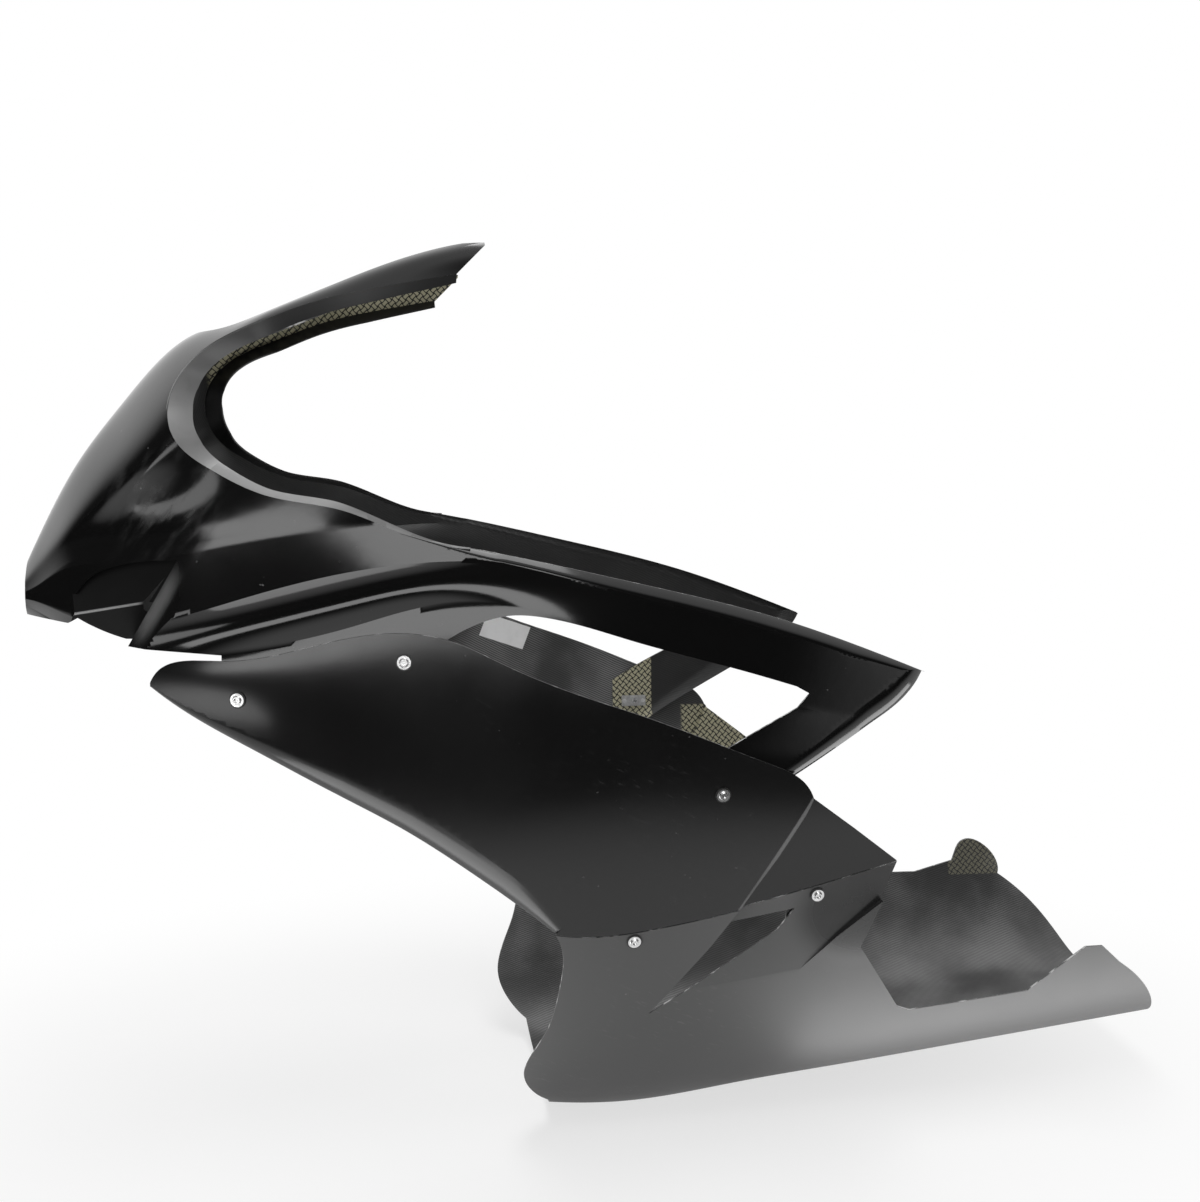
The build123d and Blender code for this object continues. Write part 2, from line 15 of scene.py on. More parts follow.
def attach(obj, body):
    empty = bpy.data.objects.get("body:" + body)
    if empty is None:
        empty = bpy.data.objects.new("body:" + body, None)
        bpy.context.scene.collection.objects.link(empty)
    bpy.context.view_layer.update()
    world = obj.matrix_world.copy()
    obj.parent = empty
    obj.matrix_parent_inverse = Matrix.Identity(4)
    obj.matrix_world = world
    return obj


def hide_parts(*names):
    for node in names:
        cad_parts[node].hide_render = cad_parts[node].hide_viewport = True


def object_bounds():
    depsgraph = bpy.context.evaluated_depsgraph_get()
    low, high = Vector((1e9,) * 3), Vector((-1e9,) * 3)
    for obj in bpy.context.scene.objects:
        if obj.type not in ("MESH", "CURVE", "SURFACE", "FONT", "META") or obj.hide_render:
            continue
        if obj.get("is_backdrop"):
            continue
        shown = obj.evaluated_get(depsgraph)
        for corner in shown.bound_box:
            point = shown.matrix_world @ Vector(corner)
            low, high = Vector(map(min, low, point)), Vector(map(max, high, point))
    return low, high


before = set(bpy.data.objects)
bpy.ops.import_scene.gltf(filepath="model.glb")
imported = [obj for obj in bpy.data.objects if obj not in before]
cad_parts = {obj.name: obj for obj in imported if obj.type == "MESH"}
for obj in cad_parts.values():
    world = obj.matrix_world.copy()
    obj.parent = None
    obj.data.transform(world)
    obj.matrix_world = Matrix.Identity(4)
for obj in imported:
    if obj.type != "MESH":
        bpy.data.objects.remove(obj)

LOG = logging.getLogger("fairing")
MM = 0.001
ROOT = "root"

Thing = bpy.types.Object
Material = bpy.types.Material
Point = tuple[float, float]
Place = tuple[float, float, float]
Run = list[Point]
Row = tuple[float, ...]
Line = tuple[Point, ...]

# Laminate and joints of the mouldings, in millimetres
WALL = 2.5
JOINT_GAP = 0.5
SEAM_GAP = 1.0
STEP_DEPTH = 8.0
FLANGE_WIDTH = 38.0
JOGGLE_WIDTH = 5.0
OUTER_INSET = -WALL - JOINT_GAP
# How far the cuts and the rays reach past the body, in millimetres
SIDE_REACH = 320.0
BLOCK_REACH = 1.5 * SIDE_REACH
RAY_START = 600.0
VIEW_TOP = 460.0
VIEW_FRONT = -180.0
VIEW_BOTTOM = -640.0
# Points of an outline closer than this are one, in millimetres, and those of a mesh, in metres
SAME_POINT = 0.01
WELD = 1e-6
# Sharpest edge that is shaded smooth, in degrees
SHADE_ANGLE = 28.0

# Side-view outlines of the mouldings, as (x, z)
NOSE_UNDERSIDE: Run = [(-90, -20), (-79, -14), (-55, -30), (-35, -39), (69, -42)]
FLANGE_EDGE: Run = [(69, -92), (255, -64), (285, -27)]
WINDOW_TOP: Run = [(285, -27), (317, -11), (347, -4), (378, -6), (469, -32), (574, -63), (640, -84)]
WINDOW_CORNER: Point = (654, -92)
STRUT_INNER: Run = [(641, -106), (606, -123), (568, -143), (534, -163)]
STRUT_FOOT: Run = [(534, -206), (568, -222)]
STRUT_OUTER: Run = [(568, -222), (640, -178), (725, -128), (766, -98), (781, -75)]
HAND_RIM: Run = [(781, -75), (704, -44), (629, -17), (465, 27), (310, 62), (243, 78), (191, 99), (117, 114),
                 (65, 139), (36, 163), (26, 192), (32, 220), (60, 252), (106, 275), (166, 298), (220, 311),
                 (303, 326)]
ARM_END: Point = (331, 354)
ARM_TOP = 357.2
SCREEN_EDGE: Run = [(28, 0), (42, 75), (90, 147), (200, 165), (345, 186)]
SCREEN_REAR = 420.0
SCREEN_FLOOR = 120.0
PANEL_TOP: Run = [(-3, -72), (4, -61), (72, -47), (175, -27), (238, -19), (285, -26), (342, -52), (411, -82),
                  (482, -108), (555, -138), (611, -162), (646, -181), (660, -202)]
PANEL_TAIL: Point = (711, -241)
SEAM_LINE: Run = [(764, -283), (678, -305), (591, -325), (505, -341), (434, -347), (395, -342)]
PANEL_FRONT: Run = [(395, -342), (366, -317), (337, -293), (239, -219), (173, -180), (97, -136), (34, -101),
                    (-3, -76)]
STEP_LINE: Run = [(660, -202), (649, -228), (628, -263), (607, -296), (590, -325), (560, -369), (498, -447)]
SCOOP_RIDGE: Run = [(648, -418), (702, -366), (750, -327), (790, -268)]
STEP_REGION: Run = [(692, -150), *STEP_LINE, (480, -470), (655, -460), *SCOOP_RIDGE, (800, -150)]
# Bevel along the front of a side panel: its width at each point and its depth as a share of that width
BEVEL_WIDTHS = [10, 18, 24, 26, 24, 14, 6, 2]
BEVEL_SHARE = 0.42
# Rolled edges of a wing and of its strut: the roll's width at each point and its depth as a share of it
WING_ROLL_WIDTHS = [1, 6, 11, 13, 12, 5]
WING_ROLL_SHARE = 0.7
STRUT_ROLL_WIDTHS = [8, 14, 24, 26, 22]
STRUT_ROLL_SHARE = 0.4
# Return lip of the left hand cut-out: the rim point that it starts at, and its reach from there on
LIP_START = 4
RIM_LIP = [(0, 2, 1), (2, 14, 3), (-5, 22, 7), (3, 18, 5), (8, 18, 6), (19, 18, 4), (22, 18, 3),
           (20, 17, -3), (14, 16, -8), (8, 14, -12), (2, 12, -13), (1, 11, -12), (0, 10, -8)]
LIP_THICKNESS = 2.2
LIP_ROOT = (0.3, 0.4)
# Air inlet on the left: its edges in side view, its floor's ridge and its lip with their faces, and its duct
INLET_TOP: Run = [(-78, 11), (-66, 26), (-37, 41), (-3, 48), (28, 50)]
INLET_ENDS = (-88.0, 30.0)
INLET_BOTTOM = -90.0
INLET_RIDGE = [(-79, -111, -9), (-12, -123, 2)]
FLOOR_LEANS = [(0, 4, 30), (0, 18, -25)]
INLET_LIP = [(-25, -140, -37), (28, -164, 50)]
LIP_FACES = [(0, 1, 0), (1, -1, 0)]
SQUARE_TO = 1e-6
DUCT: Run = [(24, 43), (4, 21), (-12, 3), (-13, -5), (-5, -12), (6, -10), (34, 42)]
DUCT_DEPTHS = (60.0, 124.0)
# Belly pan: the vent in each side, its bottom corner, its front, its tail and the rear edge of each half
VENT: Run = [(498, -447), (582, -342), (653, -331), (635, -355)]
BELLY_CORNER: Point = (410, VIEW_BOTTOM)
BELLY_FRONT: Run = [(404, -374), (402, -402), (390, -460), (374, -495), (368, -522), (378, -548),
                    (400, -570)]
TAIL_TOP: Run = [(1054, -433), (1124, -510), (1140, -640)]
LEFT_REAR_EDGE: list[Run] = [[(749, -329), (730, -382)], [(784, -464), (800, -471)],
                             [(942, -460), (969, -436), (1004, -407)], [(1026, -408), (1054, -433)]]
RIGHT_REAR_EDGE: list[Run] = [[(757, -330), (790, -400), (850, -428)], [(940, -428), (992, -415)],
                              [(1000, -398), (1013, -388), (1028, -390), (1054, -433)]]


class Layer(Enum):
    """Which face of a moulding a surface is, and so which material slot it takes."""

    OUTSIDE = 0
    INSIDE = 1
    EDGE = 2
    LIP = 3
    RECESS = 4


class Side(Enum):
    """A side of the motorcycle, as the sign of Y."""

    LEFT = -1
    RIGHT = 1


class Cut(Enum):
    """What a boolean does with its tool."""

    REMOVE = "DIFFERENCE"
    KEEP = "INTERSECT"
    ADD = "UNION"


class Ray(Enum):
    """A kind of ray that a material or the surroundings can be set apart for."""

    CAMERA = "Is Camera Ray"
    GLOSSY = "Is Glossy Ray"
    TRANSMISSION = "Is Transmission Ray"


class BoxShape(Enum):
    """The shape of a softbox."""

    RECTANGLE = "RECTANGLE"
    ELLIPSE = "ELLIPSE"


def end_slope(params: np.ndarray, values: np.ndarray, at: float) -> np.ndarray:
    """Slope, at one parameter, of the polynomial through a few points."""
    powers = np.vander(params - at, increasing=True)
    return np.linalg.solve(powers, values)[1]


def through(params: np.ndarray, values: np.ndarray, at: np.ndarray) -> np.ndarray:
    """Smooth curve through points: straight for two, a parabola for three, else a cubic spline.

    Args:
        params: Rising parameters of the points.
        values: One row of coordinates for each parameter.
        at: Parameters to read the curve at.

    Returns:
        One row of coordinates for each entry of at.
    """
    count = len(params)
    if count < 4:
        powers = np.vander(params, increasing=True)
        return np.vander(at, count, increasing=True) @ np.linalg.solve(powers, values)
    steps = np.diff(params)
    rises = np.diff(values, axis=0) / steps[:, None]
    system, target = np.eye(count), np.zeros_like(values)
    target[0] = end_slope(params[:4], values[:4], params[0])
    target[-1] = end_slope(params[-4:], values[-4:], params[-1])
    for i in range(1, count - 1):
        system[i, i - 1 : i + 2] = steps[i], 2 * (steps[i - 1] + steps[i]), steps[i - 1]
        target[i] = 3 * (steps[i] * rises[i - 1] + steps[i - 1] * rises[i])
    slopes = np.linalg.solve(system, target)
    k = np.clip(np.searchsorted(params, at, side="right") - 1, 0, count - 2)
    t = ((at - params[k]) / steps[k])[:, None]
    run = steps[k][:, None]
    return (values[k] * (1 + 2 * t) * (1 - t) ** 2 + values[k + 1] * t * t * (3 - 2 * t)
            + run * t * (1 - t) * (slopes[k] * (1 - t) - slopes[k + 1] * t))


def chord_params(points: np.ndarray) -> np.ndarray:
    """Parameters from 0 to 1, spaced as the points are."""
    lengths = np.concatenate([[0.0], np.cumsum(np.linalg.norm(np.diff(points, axis=0), axis=1))])
    return lengths / lengths[-1]


def smooth(run: Run, spacing: float = 4.0) -> Run:
    """A run of an outline drawn as a curve with points at about even spacing.

    Args:
        run: Points that the curve goes through.
        spacing: Distance between the points that come back, in millimetres.

    Returns:
        The points of the curve, its ends among them.
    """
    if len(run) < 3:
        return list(run)
    points = np.array(run, float)
    length = float(np.linalg.norm(np.diff(points, axis=0), axis=1).sum())
    at = np.linspace(0.0, 1.0, max(3, int(length / spacing)))
    return [tuple(p) for p in through(chord_params(points), points, at)]


def closed_outline(*runs: Run) -> Run:
    """Runs joined into one closed outline.

    Args:
        *runs: The runs in order. One of three or more points is drawn as a curve.

    Returns:
        The points of the outline.
    """
    outline: Run = []
    for run in runs:
        for point in smooth(run):
            if not outline or math.dist(outline[-1], point) > SAME_POINT:
                outline.append(point)
    if math.dist(outline[0], outline[-1]) < SAME_POINT:
        outline.pop()
    return outline


def walk(run: Run, rows: list, samples: int) -> zip:
    """Even steps along a run of the side view.

    Args:
        run: Points that the way goes through.
        rows: A value, or a few, for each point.
        samples: Number of steps.

    Returns:
        The place, the direction and the row of values at each step.
    """
    edge = np.array(run, float)
    params, at = chord_params(edge), np.linspace(0.0, 1.0, samples)
    step = 0.5 / samples
    ahead, behind = (through(params, edge, np.clip(at + d, 0.0, 1.0)) for d in (step, -step))
    columns = np.array(rows, float).reshape(len(edge), -1).T
    values = np.column_stack([np.interp(at, params, column) for column in columns])
    return zip(through(params, edge, at), ahead - behind, values)


def lowered(run: Run, distance: float) -> Run:
    """The same run moved straight down."""
    return [(x, z - distance) for x, z in run]


@dataclass
class BodyForm:
    """The form of the whole fairing, as a table of offsets: (half width, height) of each long line.

    The table, the insets and the sections are those of the solids, and the surface is drawn more finely.
    """

    stations: Row = (-145, -120, -80, -25, 40, 110, 200, 320, 470, 640, 800, 1160)
    roof: Row = (36, 84, 145, 206, 264, 298, 335, 370, 385, 385, 380, 370)
    arm_top: Line = (
        (16, 31), (33, 73), (60, 134), (88, 198), (125, 256), (153, 287), (167, 322), (184, 353), (192, 365),
        (192, 360), (188, 350), (175, 340))
    shoulder: Line = (
        (23, 23), (46, 57), (86, 106), (131, 162), (178, 218), (190, 276), (190, 306), (192, 329),
        (206, 330), (208, 325), (204, 315), (190, 300))
    flank: Line = (
        (29, 13), (57, 37), (103, 73), (150, 108), (192, 145), (208, 180), (216, 195), (222, 205),
        (228, 190), (228, 165), (220, 140), (200, 120))
    brow: Line = (
        (31, 5), (62, 18), (108, 43), (149, 53), (181, 62), (205.5, 75), (219, 86), (227, 92), (231, 66),
        (230, 18), (222, -22), (202, -50))
    ridge: Line = (
        (32, -3), (64, -4), (112, -13), (154, -17), (183.5, -2), (206, 20), (220.5, 41), (231, 51),
        (235, 24), (232, -34), (223, -80), (203, -120))
    channel: Line = (
        (31.5, -6), (63, -10), (110, -21), (150, -31), (178, -22), (196, -6), (210, 14), (227, 32),
        (236, -10), (233, -65), (224, -108), (204, -150))
    sill: Line = (
        (31, -10), (61, -17), (108, -31), (149, -48), (182, -46), (206, -33), (222, -12), (231, 12),
        (237, -48), (234, -100), (224, -138), (205, -180))
    waist: Line = (
        (28, -17), (57, -32), (103, -62), (145, -103), (182, -125), (208, -142), (225, -158), (235, -168),
        (239, -182), (234, -205), (221, -228), (200, -280))
    seam: Line = (
        (22, -24), (46, -52), (84, -103), (124, -176), (155, -240), (178, -292), (193, -325), (202, -343),
        (203, -347), (205, -335), (203, -318), (180, -330))
    bilge: Line = (
        (16, -29), (34, -66), (62, -132), (91, -226), (115, -310), (132, -382), (144, -442), (150, -492),
        (151, -518), (152, -506), (152, -492), (140, -462))
    floor: Line = (
        (10, -33), (22, -77), (42, -154), (60, -260), (77, -352), (88, -432), (96, -500), (100, -557),
        (101, -581), (102, -566), (101, -551), (95, -518))
    keel: Row = (-35, -80, -162, -270, -364, -444, -512, -569, -591, -576, -560, -526)
    step_share: dict[int, float] = field(default_factory=lambda: {8: 1.0, 9: 1.0, 10: -1.0})
    section_count: int = 14
    section_grading: float = 1.6
    slope_reach: float = 4.0
    run_samples: tuple[int, ...] = (170, 10, 18, 230, 18, 10)
    length_samples: int = 280
    brow_index: int = 4
    ridge_index: int = 5
    sill_index: int = 7

    def __post_init__(self) -> None:
        """Works out the section places and the parameters that all sections share."""
        self.lines = [self.arm_top, self.shoulder, self.flank, self.brow, self.ridge, self.channel,
                      self.sill, self.waist, self.seam, self.bilge, self.floor]
        first, last = self.stations[0], self.stations[-1]
        self.section_x = [first + (last - first) * (k / self.section_count) ** self.section_grading
                          for k in range(self.section_count + 1)]
        shared = [[chord_params(np.array(run)) for run in self.runs(self.half_profile(x))]
                  for x in self.section_x]
        self.run_params = [np.mean(rows, axis=0) for rows in zip(*shared)]
        self.trees: dict[float, BVHTree] = {}

    def along(self, values: Row, x: float) -> float:
        """A smooth curve through one value per station that doesn't swing past them.

        Args:
            values: One value for each station.
            x: Place along the fairing.

        Returns:
            The value there.
        """
        runs = np.diff(self.stations)
        slopes = np.diff(values) / runs
        tangents = [slopes[0]]
        for before, after, run_before, run_after in zip(slopes, slopes[1:], runs, runs[1:]):
            near, far = 2 * run_after + run_before, run_after + 2 * run_before
            tangents.append((near + far) / (near / before + far / after) if before * after > 0 else 0.0)
        tangents.append(slopes[-1])
        k = max(i for i in range(len(runs)) if i == 0 or self.stations[i] <= x)
        t = (x - self.stations[k]) / runs[k]
        bend = t * (1 - t) * runs[k]
        return (values[k] + (values[k + 1] - values[k]) * t * t * (3 - 2 * t)
                + bend * ((1 - t) * tangents[k] - t * tangents[k + 1]))

    def half_profile(self, x: float) -> Run:
        """Points of one section from the roof down the right side to the keel, as (y, z)."""
        sides = [tuple(self.along(values, x) for values in zip(*line)) for line in self.lines]
        return [(0.0, self.along(self.roof, x)), *sides, (0.0, self.along(self.keel, x))]

    def inset_section(self, x: float, inset: float, step: float) -> tuple[float, Run]:
        """One section moved inward along the surface normals.

        Args:
            x: Place of the section.
            inset: Distance inward; outward when negative.
            step: Further distance inward that the lines with a step share take.

        Returns:
            The moved section's place and half profile.
        """
        first = max(x - self.slope_reach, self.stations[0])
        last = min(x + self.slope_reach, self.stations[-1])
        ahead, behind, points = self.half_profile(first), self.half_profile(last), self.half_profile(x)
        normals, rates = [], []
        for i in range(len(points)):
            above = points[i - 1] if i else (-points[1][0], points[1][1])
            below = points[i + 1] if i < len(points) - 1 else (-points[-2][0], points[-2][1])
            length = math.dist(above, below)
            normal = ((above[1] - below[1]) / length, (below[0] - above[0]) / length)
            spread = [b - a for a, b in zip(ahead[i], behind[i])]
            normals.append(normal)
            rates.append((spread[0] * normal[0] + spread[1] * normal[1]) / (last - first))
        mean_rate = sum(rates) / len(rates)
        shift = inset * mean_rate / math.hypot(1.0, mean_rate)
        moved = []
        for i, (y, z) in enumerate(points):
            depth = inset * math.hypot(1.0, rates[i]) - shift * rates[i] + step * self.step_share.get(i, 0.0)
            moved.append((y - normals[i][0] * depth, z - normals[i][1] * depth))
        return x + shift, moved

    def runs(self, right: Run) -> list[Run]:
        """Splits one closed section at the creases of the body.

        Args:
            right: Its right half, from the roof to the keel.

        Returns:
            The six runs between the creases.
        """
        left = [(-y, z) for y, z in right]
        brow, ridge, sill = self.brow_index, self.ridge_index, self.sill_index
        return [left[brow:0:-1] + right[: brow + 1], right[brow : ridge + 1], right[ridge : sill + 1],
                right[sill:] + left[-2 : sill - 1 : -1], left[sill : ridge - 1 : -1],
                left[ridge : brow - 1 : -1]]

    def grid(self, inset: float, step: float) -> np.ndarray:
        """Points of the surface, section by section, each ring closed by its first point.

        Args:
            inset: Distance inward from the table.
            step: Depth of the step below the waist.

        Returns:
            An array of (section, place round the ring, coordinate), in millimetres.
        """
        rings = []
        for section_x in self.section_x:
            x, profile = self.inset_section(section_x, inset, step)
            parts = []
            for run, params, samples in zip(self.runs(profile), self.run_params, self.run_samples):
                parts.append(through(params, np.array(run), np.linspace(0.0, 1.0, samples + 1))[:-1])
            ring = np.concatenate(parts)
            ring = np.column_stack([np.full(len(ring), x), ring])
            rings.append(np.vstack([ring, ring[:1]]))
        rings = np.array(rings)
        spans = np.linalg.norm(np.diff(rings, axis=0), axis=2).mean(axis=1)
        params = np.concatenate([[0.0], np.cumsum(spans)])
        at = np.linspace(0.0, params[-1], self.length_samples)
        flat = through(params, rings.reshape(len(rings), -1), at)
        return flat.reshape(self.length_samples, rings.shape[1], 3)

    def solid(self, inset: float, step: float, layer: Layer) -> Thing:
        """The closed form as a mesh, with an inset and a step below the waist."""
        return Bench.tube(self.grid(inset, step), layer)

    def stepped(self, inset: float, margin: float, layer: Layer) -> Thing:
        """The closed form with the step of the panels and the belly pan let into both sides.

        Args:
            inset: Distance inward from the table.
            margin: How far the step's outline is grown.
            layer: Material slot of its faces.

        Returns:
            The new object.
        """
        body = self.solid(inset, 0.0, layer)
        region = offset_outline(STEP_REGION, margin)
        pocket = Bench.side_prism(region, -SIDE_REACH, SIDE_REACH, layer)
        Bench.carve(pocket, self.solid(inset, STEP_DEPTH, layer), Cut.REMOVE)
        Bench.carve(body, pocket, Cut.REMOVE)
        return body

    def side_point(self, x: float, z: float, side: Side, inset: float) -> tuple[Vector, Vector]:
        """Point and outward normal on one side of the body, seen along Y, in millimetres.

        Args:
            x: Place along the fairing.
            z: Height.
            side: Which side of the fairing.
            inset: Distance inward from the table.

        Returns:
            The point and the normal.
        """
        if inset not in self.trees:
            surface = self.grid(inset, 0.0)
            rows, columns = surface.shape[:2]
            starts = [r * columns + c for r in range(rows - 1) for c in range(columns - 1)]
            corners = [(k, k + 1, k + columns + 1, k + columns) for k in starts]
            points = [tuple(p) for p in surface.reshape(-1, 3)]
            self.trees[inset] = BVHTree.FromPolygons(points, corners)
        start = Vector((x, side.value * RAY_START, z))
        point, normal, _, _ = self.trees[inset].ray_cast(start, Vector((0, -side.value, 0)))
        if point is None:
            raise ValueError(f"no surface at x {x}, z {z}")
        return point, normal if normal.y * side.value > 0 else -normal


class Bench:
    """The modelling steps that the mouldings share."""

    @staticmethod
    def clear_selection() -> None:
        """Leaves nothing selected."""
        bpy.ops.object.select_all(action="DESELECT")

    @staticmethod
    def pick(thing: Thing) -> None:
        """Makes one object the only one selected, and active.

        Args:
            thing: The object.
        """
        Bench.clear_selection()
        thing.select_set(True)
        bpy.context.view_layer.objects.active = thing

    @staticmethod
    @contextmanager
    def editing() -> Iterator[None]:
        """Edit mode on the active object, with all of it selected.

        Returns:
            The context to work in.
        """
        bpy.ops.object.mode_set(mode="EDIT")
        bpy.ops.mesh.select_all(action="SELECT")
        yield
        bpy.ops.object.mode_set(mode="OBJECT")

    @staticmethod
    def vertices(thing: Thing) -> np.ndarray:
        """Reads the vertices of an object.

        Args:
            thing: The object.

        Returns:
            One row of coordinates for each vertex, in metres.
        """
        places = np.empty(len(thing.data.vertices) * 3, np.float32)
        thing.data.vertices.foreach_get("co", places)
        return places.reshape(-1, 3)

    @staticmethod
    def set_vertices(thing: Thing, places: np.ndarray) -> None:
        """Moves an object's vertices."""
        thing.data.vertices.foreach_set("co", np.ascontiguousarray(places, np.float32).ravel())
        thing.data.update()

    @staticmethod
    def set_layer(thing: Thing, layer: Layer) -> None:
        """Gives an object the slots of a moulding.

        Args:
            thing: The object.
            layer: The slot that all its faces take.
        """
        thing.data.materials.clear()
        for _ in Layer:
            thing.data.materials.append(None)
        thing.data.polygons.foreach_set("material_index", [layer.value] * len(thing.data.polygons))

    @staticmethod
    def sheet(surface: np.ndarray) -> Thing:
        """An open sheet through a grid of points.

        Args:
            surface: An array of (row, column, coordinate), in millimetres.

        Returns:
            The new object.
        """
        rows, columns = surface.shape[:2]
        Bench.clear_selection()
        bpy.ops.mesh.primitive_grid_add(x_subdivisions=columns - 1, y_subdivisions=rows - 1, size=2.0)
        cloth = bpy.context.object
        places = Bench.vertices(cloth)
        across = np.rint((places[:, 0] + 1) / 2 * (columns - 1)).astype(int)
        down = np.rint((places[:, 1] + 1) / 2 * (rows - 1)).astype(int)
        Bench.set_vertices(cloth, surface[down, across] * MM)
        return cloth

    @staticmethod
    def tube(surface: np.ndarray, layer: Layer) -> Thing:
        """A closed solid: a grid wrapped round its sections and capped at both ends.

        Args:
            surface: Sections as rows, each closed by its first point, in millimetres.
            layer: Material slot of its faces.

        Returns:
            The new object.
        """
        body = Bench.sheet(surface)
        with Bench.editing():
            bpy.ops.mesh.remove_doubles(threshold=WELD)
            bpy.ops.mesh.select_all(action="DESELECT")
            bpy.ops.mesh.select_mode(type="EDGE")
            bpy.ops.mesh.select_non_manifold()
            bpy.ops.mesh.edge_face_add()
            bpy.ops.mesh.select_all(action="SELECT")
            bpy.ops.mesh.normals_make_consistent(inside=False)
        Bench.set_layer(body, layer)
        return body

    @staticmethod
    def placed(thing: Thing, side: Side) -> Thing:
        """Puts a solid of the left side where it is wanted.

        Args:
            thing: The solid, which is mirrored for the right side.
            side: Side of the fairing.

        Returns:
            The same solid.
        """
        if side is Side.RIGHT:
            Bench.set_vertices(thing, Bench.vertices(thing) * (1, -1, 1))
            Bench.pick(thing)
            with Bench.editing():
                bpy.ops.mesh.flip_normals()
        return thing

    @staticmethod
    def half_space(origin: Vector, run: Vector, normal: Vector, layer: Layer) -> Thing:
        """A large block that stands out along a normal.

        Args:
            origin: A point of its first face, in millimetres.
            run: A direction in that face.
            normal: Direction that it stands out in.
            layer: Material slot of its faces.

        Returns:
            The new object.
        """
        across = normal.cross(run).normalized()
        square = ((-1, -1), (1, -1), (1, 1), (-1, 1))
        corners = [origin + (run * a + across * b) * BLOCK_REACH for a, b in square]
        return Bench.prism(corners, normal * (2 * BLOCK_REACH), layer)

    @staticmethod
    def prism(corners: list[Vector], sweep: Vector, layer: Layer) -> Thing:
        """A flat outline swept straight into a closed solid.

        Args:
            corners: The outline's points, in millimetres.
            sweep: How far the outline is swept.
            layer: Material slot of its faces.

        Returns:
            The new object.
        """
        Bench.clear_selection()
        bpy.ops.mesh.primitive_circle_add(vertices=len(corners), radius=1.0, fill_type="NGON")
        block = bpy.context.object
        Bench.set_vertices(block, np.array(corners) * MM)
        with Bench.editing():
            bpy.ops.mesh.extrude_region_move(TRANSFORM_OT_translate={"value": sweep * MM})
            bpy.ops.mesh.select_all(action="SELECT")
            bpy.ops.mesh.normals_make_consistent(inside=False)
        Bench.set_layer(block, layer)
        return block

    @staticmethod
    def side_prism(outline: Run, low: float, high: float, layer: Layer = Layer.EDGE) -> Thing:
        """A side-view outline swept across the fairing from one y to another."""
        corners = [Vector((x, low, z)) for x, z in outline]
        return Bench.prism(corners, Vector((0, high - low, 0)), layer)

    @staticmethod
    def carve(work: Thing, tool: Thing, cut: Cut) -> None:
        """Applies a boolean to a solid and uses up its tool.

        Args:
            work: The solid that is changed.
            tool: The solid that changes it.
            cut: What is done with the tool.
        """
        Bench.pick(work)
        modifier = work.modifiers.new("carve", "BOOLEAN")
        modifier.operation = cut.value
        modifier.object = tool
        modifier.solver = "MANIFOLD"
        bpy.ops.object.modifier_apply(modifier=modifier.name)
        bpy.data.objects.remove(tool, do_unlink=True)


Socket = bpy.types.NodeSocket
Value = "float | tuple[float, ...] | Shade"


class Shade:
    """A value in a node tree. Python's operators on it add Math nodes."""

    def __init__(self, graph: "Graph", socket: Socket) -> None:
        """Wraps an output socket of a graph."""
        self.graph = graph
        self.socket = socket

    def math(self, operation: str, *values: Value) -> "Shade":
        """A Math node with this value first, and the rest after it."""
        return self.graph.node("ShaderNodeMath", {"operation": operation}, dict(enumerate((self, *values))))

    __add__ = __radd__ = partialmethod(math, "ADD")
    __mul__ = __rmul__ = partialmethod(math, "MULTIPLY")
    __sub__ = partialmethod(math, "SUBTRACT")
    __truediv__ = partialmethod(math, "DIVIDE")
    __gt__ = partialmethod(math, "GREATER_THAN")
    __or__ = partialmethod(math, "MAXIMUM")

    def __rsub__(self, other: Value) -> "Shade":
        """Difference from a number."""
        return self.graph.node("ShaderNodeMath", {"operation": "SUBTRACT"}, {0: other, 1: self})

    def fade(self, low: float, high: float, start: float = 0.0, end: float = 1.0) -> "Shade":
        """A smooth change from start to end as this value goes from low to high."""
        ends = {"Value": self, "From Min": low, "From Max": high, "To Min": start, "To Max": end}
        return self.graph.node("ShaderNodeMapRange", {"interpolation_type": "SMOOTHSTEP"}, ends)

    def above(self, low: float) -> "Shade":
        """This value, from 0 to 1, squeezed into the range from low to 1."""
        return low + self * (1.0 - low)

    def near(self, width: Point) -> "Shade":
        """A mask that is 1 where this value is about 0, and fades out over a width on both sides."""
        return self.math("ABSOLUTE").fade(*width, 1.0, 0.0)


